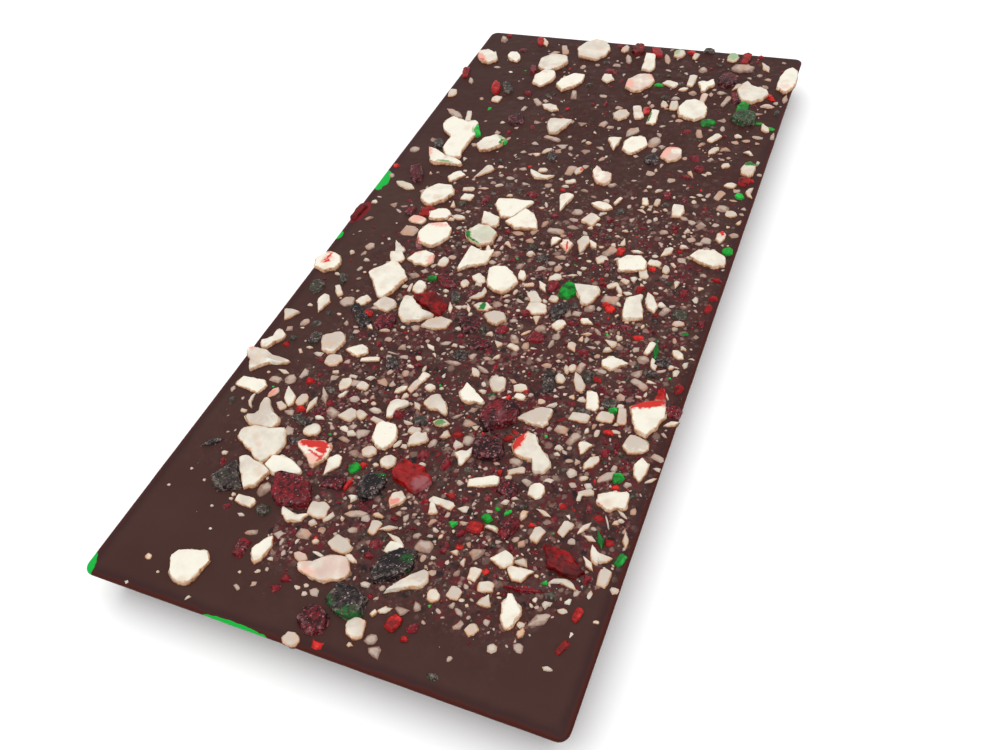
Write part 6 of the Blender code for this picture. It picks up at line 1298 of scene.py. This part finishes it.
sharedCrumbs = {  # the small pieces that the solid has too
    "seed": 41, "count": 24, "tries": 4000, "size": (0.9 * mm, 2.1 * mm), "slimness": (0.5, 0.9),
    "gap": 0.35 * mm, "spread": strewn, "thinning": 1, "odds": (.42, .30, .08, .09, .08, .03),
}
fillCrumbs = {  # the finer ones between them all
    "seed": 7, "count": 2000, "tries": 30000, "size": (0.45 * mm, 2.2 * mm), "slimness": (0.45, 0.9),
    "gap": -0.08 * mm, "spread": strewnFinely, "thinning": 2.0, "odds": (.09, .53, .02, .23, .12, .01),
}
crumbForm = {
    "firstSeed": 100,
    "around": 8,
    # shares of the outline, the height and the film
    "rings": ((0.80, -0.45, 0), (1.14, -0.08, 0.2), (0.97, 0.35, 0.8), (0.66, 1.0, 1.4)),
    "crown": 1.04,
    "sides": (3, 6),
    "angleDrift": 0.22,
    "corner": (0.78, 1.12),
    "farthest": 1.35,
    "height": (0.13, 0.28),
    "leastHeight": 0.10 * mm,
    "film": (0.55, 1.1),
    "mostTilt": 0.35,
    "filmedShare": 0.6,
    "toneDrift": 0.15,
}
grains = {
    "seed": 12,
    "sugarSeed": 13,
    "dustSeed": 14,
    "stretch": (0.6, 1.0),
    "outlinePoints": 48,
    "outlineShares": (0.02, 1.0),
    "sugarPerArea": 4 / mm ** 2,
    "sugarSize": (0.03 * mm, 0.09 * mm),
    "dustCount": 4000,
    "dustTries": 3,
    "dustThinning": 1.5,
    "dustSize": (0.04 * mm, 0.13 * mm),
    "dustFineness": 3,
    "dustRise": 0.3,
    # red, dark, beige and white, and how often each is drawn
    "shades": (0.36, 0.1, 0.62, 0.9),
    "redSugarOdds": (.46, .28, .16, .10),
    "greenSugarOdds": (.02, .76, .15, .07),
    "dustOdds": (.30, .28, .38, .04),
}
grainCorners = ((1, 0, 0), (-1, 0, 0), (0, 1, 0), (0, -1, 0), (0, 0, 1), (0, 0, -1))
grainFaces = ((0, 2, 4), (2, 1, 4), (1, 3, 4), (3, 0, 4), (2, 0, 5), (1, 2, 5), (3, 1, 5), (0, 3, 5))


# small pieces drawn at random, length = least + (most - least) * draw ^ 2, each kept if a draw is under
# spread ^ thinning at its place and the gap to every taken place is wide enough
def strewCrumbs(taken, rule):
    rng = np.random.default_rng(rule["seed"])
    least, most = rule["size"]
    crumbs = []
    places = np.full((len(taken) + rule["count"], 3), strewing["farAway"])
    places[:len(taken)] = taken
    for _ in range(rule["tries"]):
        x = rng.uniform(-1, 1) * (bar["width"] / 2 - strewing["margin"])
        y = rng.uniform(-1, 1) * (bar["length"] / 2 - strewing["margin"])
        length = least + (most - least) * rng.uniform() ** 2
        breadth = length * rng.uniform(*rule["slimness"])
        turn = rng.uniform(0, 360)
        form = strewing["forms"][rng.integers(len(strewing["forms"]))]
        kind = strewing["kinds"][rng.choice(len(strewing["kinds"]), p=rule["odds"])]
        wanted = rng.uniform() < rule["spread"](x, y) ** rule["thinning"]
        reach = np.hypot(places[:, 0] - x, places[:, 1] - y) - places[:, 2]
        if wanted and len(crumbs) < rule["count"] and reach.min() > length / 2 + rule["gap"]:
            places[len(taken) + len(crumbs)] = x, y, length / 2
            crumbs.append((kind, (form, x, y, length, breadth, turn)))
    return crumbs


# middle of the area in an outline: the sum of (p + next) * (p x next) over 3 * the sum of p x next
def areaMiddle(points):
    following = np.roll(points, -1, axis=0)
    cross = points[:, 0] * following[:, 1] - following[:, 0] * points[:, 1]
    return ((points + following) * cross[:, None]).sum(axis=0) / (3 * cross.sum())


# points turned about the origin by an angle in degrees
def turned(points, angle):
    cosine, sine = math.cos(math.radians(angle)), math.sin(math.radians(angle))
    return points @ np.array(((cosine, sine), (-sine, cosine)))


# (cosine, sine) of an angle in radians
def directionAt(angle):
    return np.array((math.cos(angle), math.sin(angle)))


# the form of one broken piece, drawn as in the solid, with how its sides lean and where it is chipped:
# height = share * sqrt(length * breadth) * drift, kept in its limits, times the share of its kind,
# and a side leans by low + (high - low) * draw ^ 2
def shardForm(number, kind, placing):
    rng = np.random.default_rng(shardRule["seed"] + number)
    form, x, y, length, breadth, turn = placing
    size = math.sqrt(length * breadth)
    unit = np.array(outlines[form], dtype=float)
    unit = unit * (1 + rng.uniform(-shardRule["cornerDrift"], shardRule["cornerDrift"], unit.shape))
    corners = turned(unit * (length / 2, breadth / 2), turn) + (x, y)
    height = shardRule["heightShare"] * size
    height *= rng.uniform(1 - shardRule["heightDrift"], 1 + shardRule["heightDrift"])
    height = min(max(height, shardRule["leastHeight"]), shardRule["mostHeight"])
    height *= shardRule["kindHeights"].get(kind, 1)
    uphill = directionAt(rng.uniform(0, 2 * math.pi))
    tilt = rng.uniform(0, shardRule["mostTilt"]) * height / (length / 2)
    middle = areaMiddle(corners)
    low, high = shardRule["lean"]
    bow = directionAt(rng.uniform(0, 2 * math.pi))
    chips = []
    for _ in range(rng.integers(*shardRule["chips"])):
        towards = directionAt(rng.uniform(0, 2 * math.pi))
        reach = ((corners - middle) @ towards).max()
        chips.append((towards, reach, height * rng.uniform(*shardRule["chipKeep"]),
                      rng.uniform(*shardRule["chipSlope"])))
    return {
        "kind": kind,
        "corners": corners,
        "middle": middle,
        "height": height,
        "size": size,
        "rise": uphill * tilt,
        "bow": bow,
        "curve": rng.uniform(*shardRule["curve"]),
        "lean": low + (high - low) * rng.uniform(size=len(corners)) ** 2,
        "chips": chips,
        "tone": rng.uniform(-shardRule["toneDrift"], shardRule["toneDrift"]),
    }


# height over the chocolate: the soft least of the tilted bowed top, the chips, and the sides, which
# rise with the distance from the outline, each at its own slope
def shardHeight(shape, flat):
    away = flat - shape["middle"]
    top = shape["height"] + away @ shape["rise"] - shape["curve"] * (away @ shape["bow"]) ** 2
    levels = [np.maximum(top, shardRule["leastTop"] * shape["height"])]
    for towards, reach, keep, slope in shape["chips"]:
        levels.append(keep + slope * (reach - away @ towards))
    start = shape["corners"]
    side = np.roll(start, -1, axis=0) - start
    share = np.clip(((flat[:, None] - start) * side).sum(axis=2) / (side ** 2).sum(axis=1), 0, 1)
    gap = np.linalg.norm(flat[:, None] - start - share[..., None] * side, axis=2)
    levels = np.column_stack([*levels, gap / shape["lean"]])
    soft = shardRule["edgeSoftness"]
    height = -soft * np.log(np.exp(-levels / soft).sum(axis=1))
    wander = shardRule["topWander"] * waves(flat, *shardRule["topWaves"])
    return height + wander * np.clip(height / shape["height"], 0, 1)


# points around a broken outline, evenly spaced along each side, with one near every corner, each
# averaged with its neighbours and moved outwards by fine and broad waves
def aroundOutline(corners, count):
    sides = np.roll(corners, -1, axis=0) - corners
    run = np.concatenate([[0], np.cumsum(np.hypot(sides[:, 0], sides[:, 1]))])
    along = np.interp(np.arange(count), np.round(run / run[-1] * count), run)
    closed = np.concatenate([corners, corners[:1]])
    edge = np.column_stack([np.interp(along, run, closed[:, 0]), np.interp(along, run, closed[:, 1])])
    own, neighbours = shardRule["edgeAverage"]
    edge = own * edge + neighbours * (np.roll(edge, 1, axis=0) + np.roll(edge, -1, axis=0))
    fine, broad = shardRule["edgeWander"]
    fineWaves, broadWaves = shardRule["edgeWaves"]
    wander = fine * waves(edge, *fineWaves) + broad * waves(edge, *broadWaves)
    wander *= min(1, np.ptp(corners, axis=0).min() / shardRule["fullWander"])
    away = edge - areaMiddle(corners)
    return edge + away / np.linalg.norm(away, axis=1, keepdims=True) * wander[:, None]


# how strongly a point is coloured: the strongest patch that holds it, softened at the patch's edge
def patchStrength(flat, patches):
    strength = np.zeros(len(flat))
    ragged = patchEdge["ragged"] * waves(flat, *patchEdge["waves"])
    for x, y, length, breadth, turn, most in patches:
        away = turned(flat - (x * mm, y * mm), -turn)
        reach = np.hypot(away[:, 0] / (length / 2 * mm), away[:, 1] / (breadth / 2 * mm)) + ragged
        share = np.clip((patchEdge["farthest"] - reach) / patchEdge["fade"], 0, 1)
        strength = np.maximum(strength, most * share)
    return strength


# rings at shares of the outline, each lifted to its height, from the sunk foot up and in to the top;
# film left = edge + (1 - share) * distance to the middle / (reach * (1 - near * outward y))
def shardPart(shape, meshing):
    around, shares = meshings[meshing]
    edge = aroundOutline(shape["corners"], around)
    away = edge - shape["middle"]
    field = (shape["middle"] + np.array(shares)[:, None, None] * away).reshape(-1, 2)
    lift = shardHeight(shape, field) + shardRule["meniscus"]
    out = away / np.linalg.norm(away, axis=1, keepdims=True)
    foot = [np.column_stack([shape["middle"] + share * away + past * out, np.full(around, height)])
            for share, past, height, clear in footRings]
    peak = shardHeight(shape, shape["middle"][None])[0] + shardRule["meniscus"]
    poles = np.array([[*shape["middle"], footRings[0][2]], [*shape["middle"], peak]])
    points = np.concatenate([*foot, np.column_stack([field, lift]), poles])
    reach = shardRule["filmReach"] * (1 - shardRule["nearFilm"] * out[:, 1])
    inward = (1 - np.array(shares))[:, None] * np.linalg.norm(away, axis=1) / reach
    clear = np.concatenate([np.repeat([ring[3] for ring in footRings], around),
                            filmEdge + inward.ravel(), poleClear])
    points = heldIn(points + (0, 0, bar["thickness"]))
    quads, triangles = closedFaces(len(shares) + len(footRings), around, 1)
    tone = np.full(len(points), shape["tone"] + toneOf(shape["size"]))
    return {"points": points, "quads": quads, "triangles": triangles,
            "marks": candyMarks(points, clear, tone, shape["kind"])}


# points drawn back into the box of the solid
def heldIn(points):
    return np.clip(points, np.array(cadLow), np.array(cadHigh))


# smaller pieces are creamier: tone = creamiest * (1 - size / where it ends)
def toneOf(size):
    return toneRule["creamiest"] * (1 - np.clip(size / toneRule["creamUnder"], 0, 1))


# what the points of a piece carry; tone grows by a share of how dull a white piece is there
def candyMarks(points, clear, tone, kind):
    flat = points[:, :2]
    greens = glowPatches if kind in glowingKinds else greenPatches
    dullness = patchStrength(flat, dullPatches) if kind == "white" else 0
    return {
        "tone": tone + toneRule["dullest"] * dullness,
        "bare": clear,
        "redness": patchStrength(flat, redPatches),
        "greenAndPaintedLight": patchStrength(flat, greens),
    }


# small broken pieces as turned, tilted rings; radius = the radius of a circle of the same area as a
# regular polygon, times the random corner share, over the cosine of the angle from the side's middle
def crumbPart(rows, kind, seed):
    rng = np.random.default_rng(seed)
    x, y, length, breadth, turn = np.array(rows, dtype=float).T
    around, count = crumbForm["around"], len(rows)
    size = np.sqrt(length * breadth)
    angle = np.arange(around) / around * 2 * math.pi
    angle = angle + rng.uniform(-crumbForm["angleDrift"], crumbForm["angleDrift"], (count, around))
    sides = rng.integers(*crumbForm["sides"], (count, 1))
    fromSide = (angle + rng.uniform(0, 2 * math.pi, (count, 1))) % (2 * math.pi / sides) - math.pi / sides
    radius = np.sqrt(math.pi / (sides * np.tan(math.pi / sides))) / np.cos(fromSide)
    radius = radius * rng.uniform(*crumbForm["corner"], (count, around))
    radius = np.minimum(radius, crumbForm["farthest"])
    outline = np.stack([np.cos(angle) * length[:, None] / 2, np.sin(angle) * breadth[:, None] / 2], -1)
    outline *= radius[..., None]
    cosine, sine = np.cos(np.radians(turn)), np.sin(np.radians(turn))
    outline = outline @ np.stack([np.stack([cosine, sine], -1), np.stack([-sine, cosine], -1)], 1)
    height = np.maximum(size * rng.uniform(*crumbForm["height"], count), crumbForm["leastHeight"])
    height = height * crumbForm["filmedShare"] if kind == "filmed" else height
    uphill = rng.uniform(0, 2 * math.pi, count)
    tilt = rng.uniform(0, crumbForm["mostTilt"], count) * height / (length / 2)
    rise = np.stack([np.cos(uphill), np.sin(uphill)], -1) * tilt[:, None]
    share, level, clear = np.array(crumbForm["rings"]).T
    away = outline[:, None] * share[None, :, None, None]
    tilted = (away * rise[:, None, None]).sum(-1) * (level > 0)[None, :, None]
    lift = level[None, :, None] * height[:, None, None] + tilted
    middle = np.stack([x, y], -1)
    rings = np.concatenate([away + middle[:, None, None], lift[..., None]], -1).reshape(count, -1, 3)
    poles = np.stack([np.column_stack([middle, level[0] * height]),
                      np.column_stack([middle, height * crumbForm["crown"]])], 1)
    points = heldIn(np.concatenate([rings, poles], axis=1).reshape(-1, 3) + (0, 0, bar["thickness"]))
    quads, triangles = closedFaces(len(share), around, count)
    tone = toneOf(size) + rng.uniform(-crumbForm["toneDrift"], crumbForm["toneDrift"], count)
    cleared = np.concatenate([np.repeat(clear, around), [clear[0], clear[-1]]])
    cleared = (rng.uniform(*crumbForm["film"], count)[:, None] * cleared).ravel()
    return {"points": points, "quads": quads, "triangles": triangles,
            "marks": candyMarks(points, cleared, np.repeat(tone, len(points) // count), kind)}


# closed forms set end to end as one, with the face numbers moved along
def joined(parts):
    starts = np.cumsum([0] + [len(part["points"]) for part in parts[:-1]])
    whole = {"points": np.concatenate([part["points"] for part in parts])}
    for faces in ("quads", "triangles"):
        whole[faces] = np.concatenate([part[faces] + start for part, start in zip(parts, starts)])
    whole["marks"] = {name: np.concatenate([part["marks"][name] for part in parts])
                      for name in parts[0]["marks"]}
    return whole


# eight-sided grains: the corners of an octahedron, turned by the axes of random frames and sized
def grainPart(places, sizes, shade, seed):
    rng = np.random.default_rng(seed)
    count = len(places)
    frames = np.linalg.qr(rng.normal(size=(count, 3, 3)))[0]
    frames *= np.linalg.det(frames)[:, None, None]
    stretch = rng.uniform(*grains["stretch"], (count, 1, 3)) * sizes[:, None, None]
    points = np.array(grainCorners, dtype=float) * stretch @ frames + places[:, None]
    starts = len(grainCorners) * np.arange(count)[:, None, None]
    return {"points": heldIn(points.reshape(-1, 3)), "quads": np.zeros((0, 4), int),
            "triangles": (np.array(grainFaces) + starts).reshape(-1, 3),
            "marks": {"shade": np.repeat(shade, len(grainCorners))}}


# sugar grains on a dark piece: random shares of its outline at random places around, at its height;
# a share is the root of an even draw, so the grains lie evenly on the area
def sugarPlaces(shape, rng):
    around = grains["outlinePoints"]
    away = aroundOutline(shape["corners"], around) - shape["middle"]
    area = 0.5 * abs((away[:, 0] * np.roll(away[:, 1], -1) - away[:, 1] * np.roll(away[:, 0], -1)).sum())
    count = int(area * grains["sugarPerArea"])
    spoke = away[rng.integers(0, around, count)]
    flat = shape["middle"] + spoke * np.sqrt(rng.uniform(*grains["outlineShares"], count))[:, None]
    return np.column_stack([flat, shardHeight(shape, flat) + shardRule["meniscus"] + bar["thickness"]])


# a closed form as a piece of the scene, with a line that says how many triangles it has
def addPart(name, part, material, smooth=True):
    makePiece(name, part["points"], part["quads"], part["triangles"], material, part["marks"], smooth)
    print(f"{name}: {2 * len(part['quads']) + len(part['triangles'])} triangles")


print("chocolate slab")
makeSlab(chocolateFinish())

# a taken place is x, y and a radius: the mean half size of a piece, or half the length of a crumb
print("broken candy")
placings = [(kind, (form, x * mm, y * mm, length * mm, breadth * mm, turn))
            for kind, rows in placedCandy.items() for form, x, y, length, breadth, turn in rows]
taken = [(row[1], row[2], (row[3] + row[4]) / 4) for kind, row in placings]
shared = strewCrumbs(taken, sharedCrumbs)
shapes = [shardForm(number, kind, placing) for number, (kind, placing) in enumerate(placings + shared)]
taken += [(row[1], row[2], row[3] / 2) for kind, row in shared]
handRows = {kind: [(x * mm, y * mm, length * mm, breadth * mm, turn)
                   for x, y, length, breadth, turn in rows] for kind, rows in crumbRows.items()}
taken += [(row[0], row[1], row[2] / 2) for rows in handRows.values() for row in rows]
filling = strewCrumbs(taken, fillCrumbs)

finishes = {
    "white": lightFinish("whiteCandy", "paleBlush"),
    "striped": lightFinish("stripedCandy", "paleBlush"),
    "pink": lightFinish("pinkCandy", "pinkBlush"),
    "filmed": filmedFinish(),
    "red": clearFinish("redCandy", "redDeep", "red", "redBright"),
    "green": clearFinish("greenCandy", "greenDeep", "green", "greenBright"),
    "darkRed": sugaredFinish("darkRedCandy", "redDark", "red", "redFrostAndGlint", "redGlow", "redGlowing"),
    "darkGreen": sugaredFinish("darkGreenCandy", "greenDark", "green", "greenFrostAndGlint", "greenGlow",
                               "greenGlowing"),
}
pieceKinds = {"redStriped": "striped", "greenStriped": "striped"}
for finishName, material in finishes.items():
    own = [shape for shape in shapes if pieceKinds.get(shape["kind"], shape["kind"]) == finishName]
    parts = []
    for shape in own:
        meshing = "small" if shape["size"] < smallUnder else "large"
        parts.append(shardPart(shape, "striped" if finishName == "striped" else meshing))
    addPart(f"{finishName}Shards", joined(parts), material)

print("crumbs")
for order, (finishName, material) in enumerate(finishes.items()):
    rows = handRows.get(finishName, []) + [placing[1:] for kind, placing in filling if kind == finishName]
    if rows:
        part = crumbPart(rows, finishName, crumbForm["firstSeed"] + order)
        addPart(f"{finishName}Crumbs", part, material, False)

print("sugar grains and dust")
rng = np.random.default_rng(grains["seed"])
dust = dustFinish("candyDust")
redSugar = np.concatenate([sugarPlaces(shape, rng) for shape in shapes if shape["kind"] == "darkRed"])
greenSugar = np.concatenate([sugarPlaces(shape, rng) for shape in shapes if shape["kind"] == "darkGreen"])
redShade = rng.choice(grains["shades"], len(redSugar), p=grains["redSugarOdds"])
greenShade = rng.choice(grains["shades"], len(greenSugar), p=grains["greenSugarOdds"])
sugarSizes = rng.uniform(*grains["sugarSize"], len(redSugar) + len(greenSugar))
sugar = grainPart(np.concatenate([redSugar, greenSugar]), sugarSizes,
                  np.concatenate([redShade, greenShade]), grains["sugarSeed"])
addPart("sugarGrains", sugar, dust, False)
tries = grains["dustTries"] * grains["dustCount"]
dustX = rng.uniform(-1, 1, tries) * (bar["width"] / 2 - bar["rimRadius"])
dustY = rng.uniform(-1, 1, tries) * (bar["length"] / 2 - bar["rimRadius"])
fallen = rng.uniform(size=tries) < strewnFinely(dustX, dustY) ** grains["dustThinning"]
fallen = fallen.nonzero()[0][:grains["dustCount"]]
leastDust, mostDust = grains["dustSize"]
dustSizes = leastDust + rng.uniform(0, 1, len(fallen)) ** grains["dustFineness"] * (mostDust - leastDust)
dustPlaces = np.column_stack([dustX[fallen], dustY[fallen],
                              bar["thickness"] + grains["dustRise"] * dustSizes])
dustShade = rng.choice(grains["shades"], len(fallen), p=grains["dustOdds"])
addPart("candyDust", grainPart(dustPlaces, dustSizes, dustShade, grains["dustSeed"]), dust, False)

# a pale floor, a wide soft lamp above and an even pale surround
studio = {
    "floorSize": 3.0,
    "floorColour": (0.93, 0.93, 0.93),
    "floorLift": 1.02,
    "floorClouds": ((0.4, 1.0), (0.2, 0.8)),
    "floorRoughness": 0.9,
    "floorSpecular": 0.1,
    "surroundColour": (1, 1, 1, 1),
    "surround": 1.02,
    "lampPlace": (-0.15, 0.05, 1.3),
    "lampSize": 1.4,
    "lampPower": 7.4,
}
camera = {
    "place": (56.92 * mm, -115.79 * mm, 117.23 * mm),
    "turn": (42.266, 6.520, 21.989),
    "lens": 32.89,
    "sensor": 36,
    "nearest": 0.01,
}


# a flat square of the floor's size, its colour times 1 to the lift in soft clouds
def makeFloor():
    material, tree, shader = newFinish("paleFloor", Roughness=studio["floorRoughness"],
                                       Specular_IOR_Level=studio["floorSpecular"])
    lifted = [share * studio["floorLift"] for share in studio["floorColour"]]
    colour = blended(tree, rangedNoise(tree, *studio["floorClouds"]), studio["floorColour"], lifted)
    tree.links.new(colour, shader.inputs["Base Color"])
    half = studio["floorSize"] / 2
    mesh = bpy.data.meshes.new("floor")
    mesh.from_pydata([(-half, -half, 0), (half, -half, 0), (half, half, 0), (-half, half, 0)], [],
                     [(0, 1, 2, 3)])
    mesh.materials.append(material)
    floor = bpy.data.objects.new("floor", mesh)
    bpy.context.scene.collection.objects.link(floor)


# the even surround and the lamp, which points straight down
def makeLight():
    world = bpy.data.worlds.new("studio")
    world.use_nodes = True
    surround = world.node_tree.nodes["Background"]
    surround.inputs["Color"].default_value = studio["surroundColour"]
    surround.inputs["Strength"].default_value = studio["surround"]
    bpy.context.scene.world = world
    lamp = bpy.data.lights.new("softLamp", "AREA")
    lamp.size = studio["lampSize"]
    lamp.energy = studio["lampPower"]
    lampObject = bpy.data.objects.new("softLamp", lamp)
    lampObject.location = studio["lampPlace"]
    bpy.context.scene.collection.objects.link(lampObject)


# the photo's camera, as its place, turn and lens were solved from the outline of the bar
def makeCamera():
    view = bpy.data.cameras.new("camera")
    view.lens = camera["lens"]
    view.sensor_width = camera["sensor"]
    view.clip_start = camera["nearest"]
    viewObject = bpy.data.objects.new("camera", view)
    viewObject.location = camera["place"]
    viewObject.rotation_euler = [math.radians(angle) for angle in camera["turn"]]
    bpy.context.scene.collection.objects.link(viewObject)
    bpy.context.scene.camera = viewObject


print("floor, light and camera")
makeFloor()
makeLight()
makeCamera()
bpy.context.scene.view_settings.view_transform = "Standard"
